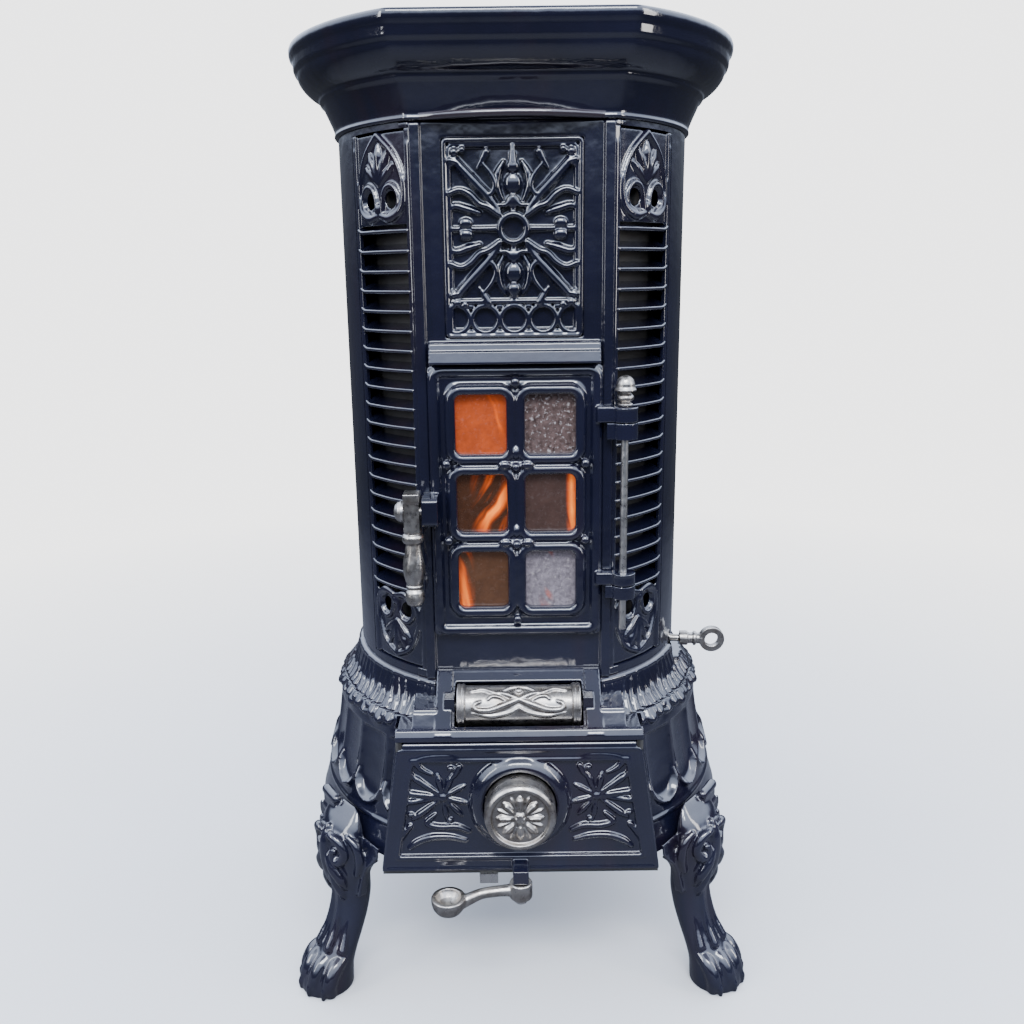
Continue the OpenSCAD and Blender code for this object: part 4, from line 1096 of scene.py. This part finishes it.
def ash_latch():
    """The lever under the ash door: a hub with its tongue, a drooping arm and a deep thumb cup."""
    cup_x, cup_out = -69, 227.2
    s, cuts = Casting(), Casting()
    s.lathe([(10, 141), (11, 142), (11, 156.5), (10, 157.5)], (0, LATCH_OUT, 0))
    s.beam([(194, 143), (214, 143), (214, 151), (194, 151)], -5, 5)
    s.tube([(-2, 220.2, 148.6), (-20, 222, 148.8), (-37, 223.8, 147.4), (-50, 225.2, 142.6),
            (-60, 226.2, 138.4)], (6.4, 5.2, 5, 5.8, 7))
    s.lathe([(0, 129), (7, 129.5), (12, 132), (15.2, 136.6), (16.4, 141.6), (16.6, 145.4),
             (15.8, 147), (0, 147)], (cup_x, cup_out, 0))
    cuts.ball((cup_x, cup_out, 152), (13.4, 13.4, 15))
    cuts.lathe([(LATCH_HOLE_R, 130), (LATCH_HOLE_R, 170)], (0, LATCH_OUT, 0))
    cast("ash_latch_lever", s, voxel=0.55, smooth=5, keep=0.4, cuts=cuts)


def small_castings():
    s = Casting()
    s.node("shaker_lever")
    cast("shaker_lever", s, voxel=0.55, smooth=5, keep=0.4)
    # front plate with a two-stepped, sloping ledge over the door
    s = Casting()
    s.node("front_plate")
    s.beam([(144, 642.6), (144, 661), (160, 661), (161.5, 654.6), (162.2, 653.6), (164.3, 653.8),
            (166.6, 644), (166.6, 642.6)], -77, 77)
    cast("front_plate", s, voxel=0.95, smooth=3, keep=0.3)
    soften("hinge_brackets", 0.6, 5, 0.4)
    soften("flue_collar", 1.1, 2, 0.35)


top()
base()
hood()
ash_door()
knob()
hearth_drum()
for name, (azimuth, boss) in LEGS.items():
    leg(name, azimuth, boss)
latch_handle()
finial()
ash_latch()
small_castings()


# ---- camera, floor and light

LENS, SENSOR = 34.45, 36
EYE = (-0.0042, -1.046, 0.720)
LOOK_DOWN, LEAN = 13.6, -0.7        # degrees
FLOOR_R = 9
BACKDROP = 3.2                      # how bright the plain backdrop is
# the room's light by the sine of the height: dark walls under a bright, slightly blue ceiling
ROOM = ((0.0, (0.05, 0.055, 0.07)), (0.12, (0.13, 0.145, 0.18)), (0.30, (1.5, 1.72, 2.2)),
        (0.78, (2.9, 3.25, 4.0)), (0.94, (0.6, 0.68, 0.86)))


def studio():
    data = bpy.data.cameras.new("camera")
    data.lens, data.sensor_width = LENS, SENSOR
    camera = add_object("camera", data)
    camera.matrix_world = (Matrix.Translation(EYE)
                           @ Matrix.Rotation(math.radians(90 - LOOK_DOWN), 4, "X")
                           @ Matrix.Rotation(math.radians(LEAN), 4, "Z"))
    bpy.context.scene.camera = camera

    # pale floor that fades into the backdrop
    mesh = bpy.data.meshes.new("floor")
    edge = [(FLOOR_R * math.cos(a), FLOOR_R * math.sin(a), -0.0005) for a in circle(96)]
    mesh.from_pydata(edge, [], [list(range(len(edge)))])
    floor = add_object("floor", mesh)
    s = Shader("floor")
    seen = s.node("ShaderNodeLightPath").outputs["Is Camera Ray"]
    far = s.node("ShaderNodeVectorMath", Vector=s.where)
    far.operation = "LENGTH"
    s.set(Base_Color=s.mix(seen, (0.1, 0.1, 0.11), s.ramp(s.noise(2), (0.3, 0.84), (0.7, 0.88))),
          Roughness=0.9, Specular_IOR_Level=0.1,
          Alpha=s.ramp(s.maths("MULTIPLY", far.outputs["Value"], 0.25), (0.12, 1.0), (0.5, 0.0)))
    mesh.materials.append(s.mat)

    # the room: a bright ceiling over dark walls, and a plain pale backdrop for the camera
    s = Shader("world", world=True)
    bpy.context.scene.world = s.mat
    height = s.node("ShaderNodeSeparateXYZ", Vector=s.where).outputs["Z"]
    seen = s.node("ShaderNodeLightPath").outputs["Is Camera Ray"]
    s.set(Color=s.mix(seen, s.ramp(height, *ROOM), (BACKDROP, BACKDROP, BACKDROP * 1.01)))

    def lamp(name, place, aim, size, watts, colour=(1, 1, 1)):
        light = bpy.data.lights.new(name, "AREA")
        light.shape, light.size, light.size_y = "RECTANGLE", *size
        light.energy, light.color = watts, colour
        obj = add_object(name, light)
        obj.location = place
        obj.rotation_euler = (Vector(aim) - Vector(place)).to_track_quat("-Z", "Y").to_euler()

    lamp("sky", (0.0, -1.9, 2.4), (0, -0.1, 0.5), (1.8, 0.7), 60, (0.93, 0.96, 1))
    lamp("left_window", (-1.9, -1.2, 1.3), (0, 0, 0.5), (0.4, 1.5), 14, (0.95, 0.97, 1))
    lamp("right_window", (2.0, -0.9, 1.2), (0, 0, 0.5), (0.3, 1.4), 10, (1, 0.97, 0.94))


studio()
